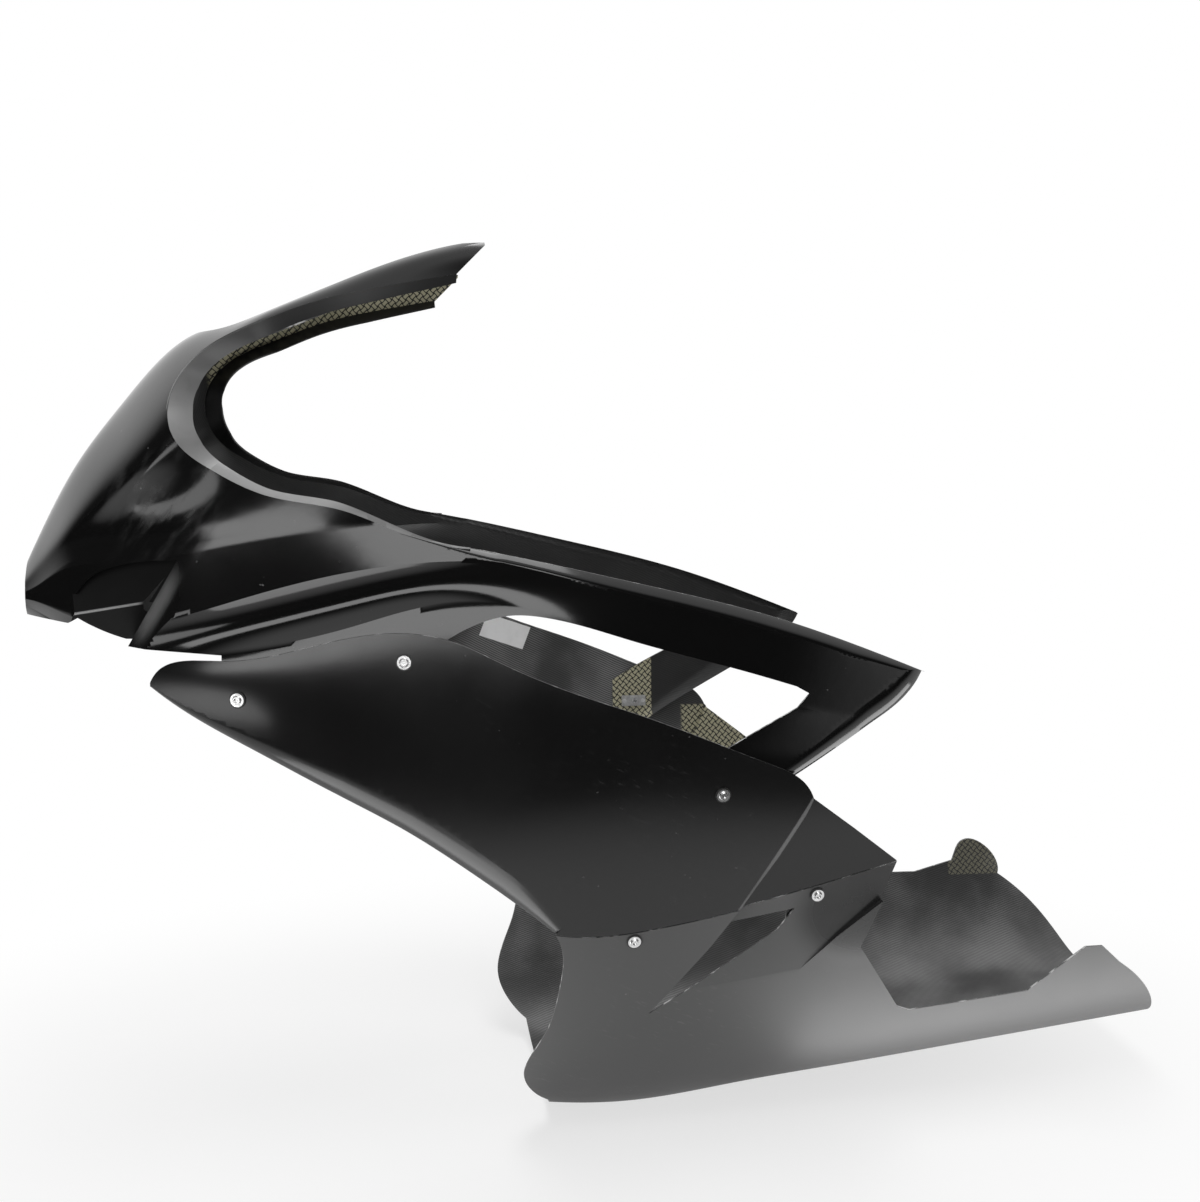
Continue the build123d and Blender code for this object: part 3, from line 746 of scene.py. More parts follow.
class Graph:
    """A node tree under construction."""

    def __init__(self, tree: bpy.types.NodeTree, space: str) -> None:
        """Empties a tree.

        Args:
            tree: The tree.
            space: Which coordinates it takes places in.
        """
        self.tree = tree
        tree.nodes.clear()
        self.place = self.node("ShaderNodeTexCoord", {}, {}, space)

    @cached_property
    def axes(self) -> list[Shade]:
        """The coordinates x, y and z of a place."""
        split = self.node("ShaderNodeSeparateXYZ", {}, {0: self.place}).socket.node
        return [Shade(self, output) for output in split.outputs]

    def node(self, kind: str, settings: dict, inputs: dict, output: int | str = 0) -> Shade:
        """Adds a node.

        Args:
            kind: Type of the node.
            settings: Its settings, set before its sockets.
            inputs: Values or links of its input sockets, by name or number.
            output: Which output is wanted.

        Returns:
            That output.
        """
        node = self.tree.nodes.new(kind)
        for key, value in settings.items():
            setattr(node, key, value)
        for key, value in inputs.items():
            self.feed(node.inputs[key], value)
        return Shade(self, node.outputs[output])

    def feed(self, socket: Socket, value: Value) -> None:
        """Links a value to an input socket, or sets it there.

        Args:
            socket: The socket.
            value: A value of the tree, or a plain number or colour.
        """
        if isinstance(value, Shade):
            self.tree.links.new(value.socket, socket)
        else:
            socket.default_value = value

    def ray(self, kind: Ray) -> Shade:
        """1 for the rays of one kind, else 0."""
        return self.node("ShaderNodeLightPath", {}, {}, kind.value)

    def mix(self, mask: Value, under: Shade, over: Shade) -> Shade:
        """Two shaders mixed by a mask."""
        return self.node("ShaderNodeMixShader", {}, {0: mask, 1: under, 2: over})


@dataclass(frozen=True)
class Grain:
    """A noise pattern: scale, detail, the levels that it fades in between, and the form of its strokes."""

    scale: float
    detail: float
    levels: Point | None = None
    stretch: Place | None = None
    turn: float = 0.0


@dataclass(frozen=True)
class Spot:
    """An ellipsoid in the piece: its middle and half sizes in metres, and the share over which it fades."""

    centre: Place
    reach: Place
    soft: float


class Recipe(Graph):
    """One material under construction."""

    # Gap between the bars of a weave and solid part of a block, as shares, and the two grains of the specks
    BAR_GAP = 0.2
    BLOCK_EDGE = 0.94
    CHIPS = Grain(230.0, 1.0, (0.77, 0.83))
    CHIPPED = Grain(11.0, 2.0, (0.45, 0.7))

    def __init__(self, name: str) -> None:
        """Starts a material with a plain shader.

        Args:
            name: Name of the material.
        """
        self.material = bpy.data.materials.new(name)
        self.material.use_nodes = True
        super().__init__(self.material.node_tree, "Object")
        self.shader = self.node("ShaderNodeBsdfPrincipled", {}, {})
        self.surface = self.tree.nodes.new("ShaderNodeOutputMaterial").inputs[0]
        self.feed(self.surface, self.shader)

    def set(self, **inputs: Value) -> None:
        """Sets the shader's sockets, named with _ for a space."""
        for key, value in inputs.items():
            self.feed(self.shader.socket.node.inputs[key.replace("_", " ")], value)

    def mapped(self, centre: Place, stretch: Place, turn: float = 0.0) -> Shade:
        """Object coordinates about a centre, turned about Y and stretched."""
        inputs = {"Vector": self.place, "Location": centre, "Rotation": (0, turn, 0), "Scale": stretch}
        return self.node("ShaderNodeMapping", {"vector_type": "TEXTURE"}, inputs)

    def grain(self, grain: Grain) -> Shade:
        """A noise pattern from 0 to 1.

        Args:
            grain: What the pattern is like.

        Returns:
            The pattern.
        """
        place = self.mapped((0, 0, 0), grain.stretch, grain.turn) if grain.stretch else self.place
        inputs = {"Vector": place, "Scale": grain.scale, "Detail": grain.detail}
        noise = self.node("ShaderNodeTexNoise", {}, inputs)
        return noise.fade(*grain.levels) if grain.levels else noise

    def mottled(self, grain: Grain, swing: Point) -> Shade:
        """A level that a grain raises from the first number by up to the second."""
        return swing[0] + self.grain(grain) * swing[1]

    def spot(self, spot: Spot) -> Shade:
        """A mask that is 1 inside a spot and fades to 0 at its edge.

        Args:
            spot: Where it is.

        Returns:
            The mask.
        """
        inside = self.mapped(spot.centre, spot.reach)
        distance = self.node("ShaderNodeVectorMath", {"operation": "LENGTH"}, {0: inside}, "Value")
        return distance.fade(1.0 - spot.soft, 1.0, 1.0, 0.0)

    def block(self, centre: Place, reach: Place) -> Shade:
        """A mask that is 1 inside a box with a centre and half sizes, in metres."""
        across = [((a - c) / r).math("ABSOLUTE") for a, c, r in zip(self.axes, centre, reach)]
        return (across[0] | across[1] | across[2]).fade(self.BLOCK_EDGE, 1.0, 1.0, 0.0)

    def specks(self) -> Shade:
        """A mask of sparse small chips."""
        return self.grain(self.CHIPS) * self.grain(self.CHIPPED)

    def weave(self, pitch: float) -> Shade:
        """A mask of bars that cross in turn, seen along Y, as in a plain basket weave on the bias.

        Args:
            pitch: Size of one crossing, in metres.

        Returns:
            The mask, 1 on the bars.
        """
        x, _, z = self.axes
        rise, fall = (x + z) / pitch, (x - z) / pitch
        turn = (rise.math("FLOOR") + fall.math("FLOOR")).math("PINGPONG", 1.0)
        bars = [value.math("FRACT").math("PINGPONG", 0.5) > self.BAR_GAP for value in (rise, fall)]
        return bars[0] * turn + bars[1] * (1.0 - turn)

    def blend(self, mask: Value, under: Value, over: Value) -> Shade:
        """Two colours mixed by a mask."""
        return self.node("ShaderNodeMix", {"data_type": "RGBA"}, {0: mask, 6: under, 7: over}, 2)

    def bump(self, height: Shade, depth: Point) -> None:
        """Roughens the surface by a height pattern, with a strength and a distance in metres."""
        pattern = dict(zip(("Height", "Strength", "Distance"), (height, *depth)))
        self.set(Normal=self.node("ShaderNodeBump", {}, pattern))


def grey(level: float) -> tuple[float, float, float, float]:
    """A neutral colour."""
    return (level, level, level, 1.0)


@dataclass(frozen=True)
class Finish:
    """A material of the fairing."""

    name: str

    def make(self) -> Material:
        """Builds the material.

        Returns:
            The material.
        """
        recipe = Recipe(self.name)
        self.paint(recipe)
        return recipe.material

    def paint(self, recipe: Recipe) -> None:
        """Sets the sockets of the shader."""
        raise NotImplementedError


@dataclass(frozen=True)
class GlossGelcoat(Finish):
    """Gloss black gelcoat with dull scuffs, and a painted highlight along the lip behind the left air inlet,
    which is made duller too.
    """

    name: str = "gloss_black_gelcoat"
    level: float = 0.005
    dust: float = 0.024
    # Grey of the chips, and also of the painted highlight along the lip behind the inlet
    speck: float = 0.2
    shine: float = 0.1
    dull: float = 0.3
    worn: float = 0.05
    strokes: Grain = Grain(34.0, 5.0, (0.45, 0.72), (0.4, 1.0, 1.8), 0.7)
    wear: Grain = Grain(9.0, 6.0, (0.5, 0.75))
    ripple: Grain = Grain(45.0, 2.0)
    ripple_depth: Point = (0.08, 0.0006)
    scuffed: Spot = Spot((0.01, -0.16, 0.11), (0.1, 0.12, 0.09), 0.8)
    # Place, line and strength of the painted highlight: a pale band along the bevelled lip behind the left
    # inlet, where the light catches it
    lip: Spot = Spot((0.0, -0.15, 0.01), (0.06, 0.06, 0.055), 0.7)
    lip_highlight_lean: Point = (0.853, 0.52)
    lip_highlight_offset: float = 0.004
    lip_highlight_width: Point = (0.001, 0.011)
    lip_highlight_least: float = 0.6

    def paint(self, recipe: Recipe) -> None:
        """Sets the sockets of the shader.

        Args:
            recipe: The material under construction.
        """
        x, _, z = recipe.axes
        strokes = recipe.grain(self.strokes)
        scuffs = recipe.spot(self.scuffed) * strokes
        wear = recipe.grain(self.wear)
        dusty = recipe.blend(scuffs, grey(self.level), grey(self.dust))
        # Painted highlight: the band along the lip takes the chips' grey and a duller roughness
        across = x * self.lip_highlight_lean[0] - z * self.lip_highlight_lean[1] - self.lip_highlight_offset
        painted_highlight = across.near(self.lip_highlight_width) * recipe.spot(self.lip) * strokes.above(self.lip_highlight_least)
        recipe.set(Base_Color=recipe.blend(recipe.specks() | painted_highlight, dusty, grey(self.speck)),
                   Roughness=self.shine + (scuffs | painted_highlight) * (self.dull - self.shine) + wear * self.worn)
        recipe.bump(recipe.grain(self.ripple), self.ripple_depth)


@dataclass(frozen=True)
class SatinLaminate(Finish):
    """Satin laminate with light scratches, a darker glossier patch, and painted shade with gloss behind the
    panels' step, edged by a painted highlight along its rim.
    """

    level: float
    scratch: float
    shine: float
    # Grey of the darker, glossier patch; on the stepped panels it is also the painted shade behind the step
    dark_patch_and_painted_shade_level: float
    dark_patch_and_painted_shade: Spot = Spot((0.0, 0.0, 9.0), (0.1, 0.1, 0.1), 0.45)
    dark_patch_and_painted_shade_least: float = 0.8
    dark_patch_and_painted_shade_shine: float = 0.6
    speck: float = 0.14
    scratches: Grain = Grain(150.0, 4.0, (0.58, 0.75), (2.0, 1.0, 0.4), 0.5)
    scratched: Grain = Grain(5.0, 3.0, (0.45, 0.7))
    scratch_dull: float = 0.04
    clouds: Grain = Grain(7.0, 5.0, (0.3, 0.7))
    cloud_dull: float = 0.08
    ripple: Grain = Grain(35.0, 3.0)
    ripple_depth: Point = (0.1, 0.0006)
    stepped: bool = False
    step_lean: Point = (0.869, 0.495)
    step_place: Point = (0.66, -0.202)
    step_top: Point = (-0.2, -0.19)
    # How the painted shade fades in behind the step line
    step_shade_fade: Point = (0.001, 0.004)
    # Painted highlight along the rolled rim of the step: its width, grey and least strength
    rim_highlight_width: Point = (0.0012, 0.003)
    rim_highlight_level: float = 0.16
    rim_highlight_least: float = 0.5

    def paint(self, recipe: Recipe) -> None:
        """Sets the sockets of the shader.

        Args:
            recipe: The material under construction.
        """
        mask = recipe.grain(self.scratches) * recipe.grain(self.scratched)
        cloud = recipe.grain(self.clouds)
        # A darker, glossier patch inside its spot, varied a little by the clouds
        dark_patch_and_painted_shade = recipe.spot(self.dark_patch_and_painted_shade) * cloud.above(self.dark_patch_and_painted_shade_least)
        face = recipe.blend(mask, grey(self.level), grey(self.scratch))
        if self.stepped:
            x, _, z = recipe.axes
            (at_x, at_z), (lean_x, lean_z) = self.step_place, self.step_lean
            behind = (x - at_x) * lean_x - (z - at_z) * lean_z
            below = z.fade(*self.step_top, 1.0, 0.0)
            # Painted highlight: a pale line along the rim of the step
            rim = behind.near(self.rim_highlight_width) * below * cloud.above(self.rim_highlight_least)
            face = recipe.blend(rim, face, grey(self.rim_highlight_level))
            # Painted shade: behind the step line and below its top the panel is darkened to the patch's
            # grey, and made glossier
            dark_patch_and_painted_shade = dark_patch_and_painted_shade | behind.fade(*self.step_shade_fade) * below
        face = recipe.blend(dark_patch_and_painted_shade, face, grey(self.dark_patch_and_painted_shade_level))
        dull = self.shine + cloud * self.cloud_dull + mask * self.scratch_dull
        recipe.set(Base_Color=recipe.blend(recipe.specks(), face, grey(self.speck)),
                   Roughness=dull * (1.0 - dark_patch_and_painted_shade * self.dark_patch_and_painted_shade_shine))
        recipe.bump(recipe.grain(self.ripple), self.ripple_depth)


@dataclass(frozen=True)
class CarbonTwill(Finish):
    """Bare carbon twill inside the mouldings, with a painted sheen that lightens each tow across its width,
    and two patches of a yellow and black weave.
    """

    name: str = "carbon_twill"
    dark: float = 0.012
    # Grey of the painted sheen at the brightest edge of each tow
    light: float = 0.24
    pitch: float = 0.0031
    lean: Point = (0.5, 0.8)
    waver: Grain = Grain(60.0, 3.0)
    wavering: float = 0.6
    clouds: Grain = Grain(9.0, 4.0, (0.35, 0.7))
    cloud_least: float = 0.2
    dull: Point = (0.5, 0.15)
    tow_depth: Point = (0.25, 0.0003)
    yellow: tuple[float, float, float, float] = (0.4, 0.38, 0.26, 1.0)
    weave_pitch: float = 0.0085
    patches: tuple[tuple[Place, Place, float], ...] = (
        ((0.7, 0.23, -0.24), (0.075, 0.05, 0.042), 1.0), ((1.02, 0.14, -0.4), (0.035, 0.05, 0.034), 0.3))

    def paint(self, recipe: Recipe) -> None:
        """Sets the sockets of the shader.

        Args:
            recipe: The material under construction.
        """
        x, y, z = recipe.axes
        waver = recipe.grain(self.waver) * self.wavering
        run = (x * self.lean[0] + z + y * self.lean[1]) / self.pitch + waver
        tow = run.math("FRACT").math("PINGPONG", 0.5) * 2.0
        # Painted sheen: the colour rises from dark to light across each tow, varied by the clouds
        shine = tow * recipe.grain(self.clouds).above(self.cloud_least)
        cloth = recipe.blend(shine, grey(self.dark), grey(self.light))
        first, second = (recipe.block(place, reach) * strength for place, reach, strength in self.patches)
        weave = recipe.blend(recipe.weave(self.weave_pitch), grey(self.dark), self.yellow)
        recipe.set(Base_Color=recipe.blend(first | second, cloth, weave),
                   Roughness=self.dull[0] - tow * self.dull[1])
        recipe.bump(tow, self.tow_depth)


@dataclass(frozen=True)
class TrimmedEdge(Finish):
    """The cut edge of a laminate, chipped through to its pale core in places."""

    name: str = "trimmed_edge"
    dark: float = 0.06
    pale: float = 0.5
    dull: float = 0.5
    chips: Grain = Grain(70.0, 4.0, (0.5, 0.62))

    def paint(self, recipe: Recipe) -> None:
        """Sets the sockets of the shader."""
        chips = recipe.grain(self.chips)
        recipe.set(Base_Color=recipe.blend(chips, grey(self.dark), grey(self.pale)), Roughness=self.dull)


@dataclass(frozen=True)
class MouldedLip(Finish):
    """The return lip of a hand cut-out: pale by the nose on the left, and dark elsewhere."""

    name: str = "moulded_lip"
    dark: float = 0.006
    pale: float = 0.22
    bare: Spot = Spot((0.07, -0.17, 0.14), (0.16, 0.1, 0.13), 0.25)
    wear: Grain = Grain(60.0, 4.0)
    wear_range: Point = (0.8, 0.4)
    gloss: Grain = Grain(30.0, 3.0)
    dull: Point = (0.25, 0.1)

    def paint(self, recipe: Recipe) -> None:
        """Sets the sockets of the shader.

        Args:
            recipe: The material under construction.
        """
        worn = recipe.spot(self.bare) * recipe.mottled(self.wear, self.wear_range)
        recipe.set(Base_Color=recipe.blend(worn, grey(self.dark), grey(self.pale)),
                   Roughness=recipe.mottled(self.gloss, self.dull))


@dataclass(frozen=True)
class DarkRecess(Finish):
    """The dull black floor of the air inlets, with a painted highlight line along its ridge."""

    name: str = "dark_recess"
    level: float = 0.004
    # Grey of the painted highlight along the crest of the floor's ridge
    painted_highlight: float = 0.3
    ridge_slope: float = 0.164
    ridge_rise: float = 0.004
    ridge_width: Point = (0.0006, 0.0018)
    ridge_end: Point = (-0.02, -0.01)
    gloss: Grain = Grain(40.0, 3.0)
    dull: Point = (0.55, 0.1)
    reflection: float = 0.1

    def paint(self, recipe: Recipe) -> None:
        """Sets the sockets of the shader.

        Args:
            recipe: The material under construction.
        """
        x, _, z = recipe.axes
        # Painted highlight: a pale line along the ridge's crest, ending some way short of the inlet's rear
        line = (z - x * self.ridge_slope - self.ridge_rise).near(self.ridge_width)
        mask = line * x.fade(*self.ridge_end, 1.0, 0.0)
        recipe.set(Base_Color=recipe.blend(mask, grey(self.level), grey(self.painted_highlight)),
                   Roughness=recipe.mottled(self.gloss, self.dull), Specular_IOR_Level=self.reflection)


@dataclass(frozen=True)
class StainedFinish(Finish):
    """One plain colour with faint stains: bare metal, or paper."""

    level: float
    shine: float
    metal: float = 1.0
    stained: float = 0.8
    stains: Grain = Grain(300.0, 3.0, (0.35, 0.7))
    stain_dull: float = 0.1

    def paint(self, recipe: Recipe) -> None:
        """Sets the sockets of the shader.

        Args:
            recipe: The material under construction.
        """
        stain = recipe.grain(self.stains)
        recipe.set(Base_Color=recipe.blend(stain, grey(self.level), grey(self.level * self.stained)),
                   Metallic=self.metal, Roughness=self.shine + stain * self.stain_dull)


@dataclass(frozen=True)
class BlackNylon(Finish):
    """Black nylon of the screw washers."""

    name: str = "black_nylon"
    level: float = 0.012
    gloss: Grain = Grain(200.0, 2.0)
    dull: Point = (0.45, 0.1)

    def paint(self, recipe: Recipe) -> None:
        """Sets the sockets of the shader."""
        recipe.set(Base_Color=grey(self.level), Roughness=recipe.mottled(self.gloss, self.dull))


@dataclass
class EdgeRoll:
    """A rounded roll along one edge of a moulding, to be taken off its outer and inner forms.

    The run goes round the moulding with the moulding on its right, seen from the left of the fairing.
    """

    form: BodyForm
    run: Run
    widths: list[float]
    share: float
    inset: float
    samples: int = 90
    steps: tuple[float, ...] = (-0.7, -0.3, 0.0, 0.15, 0.3, 0.45, 0.6, 0.8, 1.0, 1.3, 1.8)
    reach: float = 70.0

    def wedge(self, side: Side, depth: float, layer: Layer) -> Thing:
        """What the roll takes off, moved into the body by a depth.

        Args:
            side: Side of the fairing.
            depth: How far the roll moves inward.
            layer: Material slot of its faces.

        Returns:
            The new object.
        """
        sections = []
        for (x, z), (dx, dz), (width,) in walk(self.run, self.widths, self.samples):
            inward = Vector((dz, -dx)).normalized() * width
            start, normal = self.form.side_point(x + inward.x, z + inward.y, Side.LEFT, self.inset)
            slope = self.form.side_point(x, z, Side.LEFT, self.inset)[0] - start
            base = start - normal * depth
            curve = [base + slope * t - normal * (self.share * width * t * abs(t)) for t in self.steps]
            outer = normal * self.reach
            sections.append([*curve, curve[-1] + outer, curve[0] + outer, curve[0]])
        return Bench.placed(Bench.tube(np.array(sections), layer), side)


class Moulding:
    """What the mouldings share: a name, the solid that each stands for and its slot in the record."""

    name: str
    node: str
    slot: str

    def dress(self, shell: Thing, finishes: dict[Layer, Material]) -> None:
        """Gives the moulding its name and finishes and puts it in the place of its solid.

        Args:
            shell: The mesh.
            finishes: Its materials, by the face that each is on.
        """
        node, slot = self.node, self.slot
        shell.name = self.name
        for layer, material in finishes.items():
            shell.data.materials[layer.value] = material
        Bench.pick(shell)
        bpy.ops.object.shade_smooth_by_angle(angle=math.radians(SHADE_ANGLE))
        bpy.ops.object.material_slot_remove_unused()
        Bench.clear_selection()
        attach(shell, ROOT)
        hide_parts(node)


@dataclass
class UpperFairing(Moulding):
    """The nose with its arms, wings and struts."""

    form: BodyForm
    name: str = "upper_fairing_shell"
    node: str = "upper_fairing"
    slot: str = "gloss_black_laminate"
    lip_samples: int = 150

    def outline(self) -> Run:
        """Draws the moulding in side view.

        Returns:
            The points of its outline.
        """
        return closed_outline([(VIEW_FRONT, ARM_TOP), (VIEW_FRONT, NOSE_UNDERSIDE[0][1])],
                              NOSE_UNDERSIDE[:2], NOSE_UNDERSIDE[1:4], NOSE_UNDERSIDE[3:],
                              FLANGE_EDGE[:2], FLANGE_EDGE[1:],
                              WINDOW_TOP, [WINDOW_CORNER], STRUT_INNER, STRUT_FOOT, STRUT_OUTER, HAND_RIM,
                              [ARM_END], [(ARM_END[0], ARM_TOP)])

    def build(self) -> Thing:
        """Models the moulding.

        Returns:
            The finished mesh object.
        """
        shell, hollow = self.nosed(0.0, Layer.OUTSIDE), self.nosed(WALL, Layer.INSIDE)
        wing_top = HAND_RIM[: len(WING_ROLL_WIDTHS)][::-1]
        for roll in (EdgeRoll(self.form, wing_top, WING_ROLL_WIDTHS, WING_ROLL_SHARE, 0.0),
                     EdgeRoll(self.form, STRUT_OUTER[::-1], STRUT_ROLL_WIDTHS[::-1], STRUT_ROLL_SHARE, 0.0)):
            for side in Side:
                Bench.carve(shell, roll.wedge(side, 0.0, Layer.OUTSIDE), Cut.REMOVE)
                Bench.carve(hollow, roll.wedge(side, WALL, Layer.INSIDE), Cut.REMOVE)
        Bench.carve(shell, Bench.side_prism(self.outline(), -SIDE_REACH, SIDE_REACH), Cut.KEEP)
        Bench.carve(shell, hollow, Cut.REMOVE)
        far = [(x, -y) for x, y in reversed(SCREEN_EDGE[1:])]
        half = SCREEN_EDGE[-1][1]
        edge = closed_outline(far + SCREEN_EDGE, [(SCREEN_REAR, half), (SCREEN_REAR, -half)])
        corners = [Vector((x, y, SCREEN_FLOOR)) for x, y in edge]
        screen = Bench.prism(corners, Vector((0, 0, VIEW_TOP - SCREEN_FLOOR)), Layer.EDGE)
        Bench.carve(shell, screen, Cut.REMOVE)
        for side in Side:
            ends = sorted(side.value * depth for depth in DUCT_DEPTHS)
            Bench.carve(shell, Bench.side_prism(DUCT, *ends, Layer.RECESS), Cut.REMOVE)
            Bench.carve(shell, Bench.placed(self.rim_lip(), side), Cut.ADD)
        return shell

    def nosed(self, inset: float, layer: Layer) -> Thing:
        """The whole body with the air inlets let into both sides of the nose.

        Args:
            inset: Distance inward from the table.
            layer: Material slot of its faces.

        Returns:
            The new object.
        """
        body = self.form.solid(inset, 0.0, layer)
        for side in Side:
            Bench.carve(body, Bench.placed(self.inlet_hollow(inset, layer), side), Cut.REMOVE)
        return body

    @staticmethod
    def inlet_hollow(depth: float, layer: Layer) -> Thing:
        """The hollow of the left air inlet, grown into the body by a depth.

        Args:
            depth: How far each of its faces moves into the body.
            layer: Material slot of its faces.

        Returns:
            The new object.
        """
        top, front, rear = lowered(INLET_TOP, -depth), INLET_ENDS[0] - depth, INLET_ENDS[1]
        deep = Layer.RECESS if layer is Layer.OUTSIDE else layer
        outline = closed_outline([(front, top[0][1])], top, [(rear, top[-1][1]), (rear, INLET_BOTTOM)],
                                 [(front, INLET_BOTTOM)])
        hollow = Bench.side_prism(outline, -SIDE_REACH, 0.0, deep)
        for edge, faces, face_layer in ((INLET_RIDGE, FLOOR_LEANS, deep), (INLET_LIP, LIP_FACES, layer)):
            start = Vector(edge[0])
            run = (Vector(edge[1]) - start).normalized()
            blocks = []
            for face in faces:
                normal = run.cross(Vector(face)).normalized()
                if normal.y > SQUARE_TO or (abs(normal.y) <= SQUARE_TO and normal.x > 0):
                    normal = -normal
                blocks.append(Bench.half_space(start - normal * depth, run, normal, face_layer))
            Bench.carve(blocks[0], blocks[1], Cut.ADD)
            Bench.carve(hollow, blocks[0], Cut.KEEP)
        return hollow

    def rim_lip(self) -> Thing:
        """The return lip around the left hand cut-out, turned in from the rim.

        Returns:
            The new object.
        """
        sections = []
        for (x, z), (dx, dz), offset in walk(HAND_RIM[LIP_START:], RIM_LIP, self.lip_samples):
            away, reach = Vector((-dz, 0, dx)).normalized(), Vector(offset)
            root, normal = self.form.side_point(x, z, Side.LEFT, 0.0)
            under = (away - reach * (away.dot(reach) / reach.dot(reach))).normalized() * LIP_THICKNESS
            corner, tip = root + away * LIP_ROOT[0] - normal * LIP_ROOT[1], root + reach
            sections.append([corner, tip, tip + under, corner + under, corner])
        return Bench.tube(np.array(sections), Layer.LIP)


def offset_outline(outline: Run, margin: float) -> Run:
    """A closed outline grown outward by a margin, with mitred corners.

    Args:
        outline: The corners.
        margin: How far each side moves out.

    Returns:
        The grown corners.
    """
    if not margin:
        return outline
    points = [Vector(p) for p in outline]
    area = sum(a.x * b.y - b.x * a.y for a, b in zip(points, points[1:] + points[:1]))
    turn = 1.0 if area > 0 else -1.0
    grown = []
    for before, here, after in zip(points[-1:] + points[:-1], points, points[1:] + points[:1]):
        a, b = (here - before).normalized(), (after - here).normalized()
        out_a, out_b = Vector((a.y, -a.x)) * turn, Vector((b.y, -b.x)) * turn
        grown.append(tuple(here + (out_a + out_b) * (margin / (1.0 + out_a.dot(out_b)))))
    return grown


def seam_height(x: float) -> float:
    """Height of the seam between a side panel and the belly pan."""
    xs, zs = zip(*reversed(SEAM_LINE))
    return float(np.interp(x, xs, zs))


@dataclass
class SidePanel(Moulding):
    """One side panel, with the tabs behind the belly pan: their ends and the depth of the step there."""

    form: BodyForm
    side: Side
    slot: str = "satin_black_laminate"
    tabs: tuple[Place, ...] = ((430, 545, 0.0), (645, 735, STEP_DEPTH))

    def __post_init__(self) -> None:
        """Names the panel for its side."""
        hand = self.side.name.lower()
        self.name, self.node = f"{hand}_panel_shell", f"{hand}_side_panel"

    def sweep(self) -> tuple[float, float]:
        """Reach in y of cuts on this side."""
        return (-SIDE_REACH, 0.0) if self.side is Side.LEFT else (0.0, SIDE_REACH)

    def build(self) -> Thing:
        """Models the moulding.

        Returns:
            The finished mesh object.
        """
        low, high = self.sweep()
        shell = self.form.stepped(OUTER_INSET, 0.0, Layer.OUTSIDE)
        hollow = self.form.stepped(-JOINT_GAP, WALL, Layer.INSIDE)
        bevel = EdgeRoll(self.form, PANEL_FRONT, BEVEL_WIDTHS, BEVEL_SHARE, OUTER_INSET)
        for body, depth, layer in ((shell, 0.0, Layer.OUTSIDE), (hollow, WALL, Layer.INSIDE)):
            Bench.carve(body, bevel.wedge(self.side, depth, layer), Cut.REMOVE)
        outline = closed_outline(PANEL_TOP, [PANEL_TAIL], SEAM_LINE, PANEL_FRONT)
        Bench.carve(shell, Bench.side_prism(outline, low, high), Cut.KEEP)
        Bench.carve(shell, hollow, Cut.REMOVE)
        for first, last, step in self.tabs:
            self.add_tab(shell, first, last, step)
        return shell

    def add_tab(self, shell: Thing, first: float, last: float, step: float) -> None:
        """Adds one joggled tab that the belly pan is screwed to.

        Args:
            shell: The panel.
            first: Front end of the tab.
            last: Rear end of the tab.
            step: Depth of the step where the tab lies.
        """
        low, high = self.sweep()
        top = [(first, seam_height(first) + JOGGLE_WIDTH), (last, seam_height(last) + JOGGLE_WIDTH)]
        seam = lowered(top, JOGGLE_WIDTH)
        for outer, foot in ((0.0, lowered(seam, FLANGE_WIDTH)), (OUTER_INSET, seam)):
            tab = Bench.side_prism(top + foot[::-1], low, high)
            Bench.carve(tab, self.form.solid(outer, step, Layer.OUTSIDE), Cut.KEEP)
            Bench.carve(tab, self.form.solid(WALL, step, Layer.INSIDE), Cut.REMOVE)
            Bench.carve(shell, tab, Cut.ADD)


@dataclass
class BellyPan(Moulding):
    """The belly pan under the engine, cut away on the left for the exhaust."""

    form: BodyForm
    name: str = "belly_pan_shell"
    node: str = "belly_pan"
    slot: str = "satin_grey_laminate"

    def build(self) -> Thing:
        """Models the moulding.

        Returns:
            The finished mesh object.
        """
        below = lowered(SEAM_LINE, SEAM_GAP)
        shell = self.form.stepped(OUTER_INSET, 0.0, Layer.OUTSIDE)
        outlines = []
        for rear, low, high in ((LEFT_REAR_EDGE, -SIDE_REACH, 0.0), (RIGHT_REAR_EDGE, 0.0, SIDE_REACH)):
            outline = closed_outline(below[::-1], below[:1] + rear[0], *rear[1:], TAIL_TOP, [BELLY_CORNER],
                                     BELLY_FRONT[::-1] + below[-1:])
            outlines.append(Bench.side_prism(outline, low, high))
        Bench.carve(outlines[0], outlines[1], Cut.ADD)
        Bench.carve(shell, outlines[0], Cut.KEEP)
        Bench.carve(shell, self.form.stepped(-JOINT_GAP, WALL, Layer.INSIDE), Cut.REMOVE)
        Bench.carve(shell, Bench.side_prism(VENT, -SIDE_REACH, SIDE_REACH), Cut.REMOVE)
        return shell


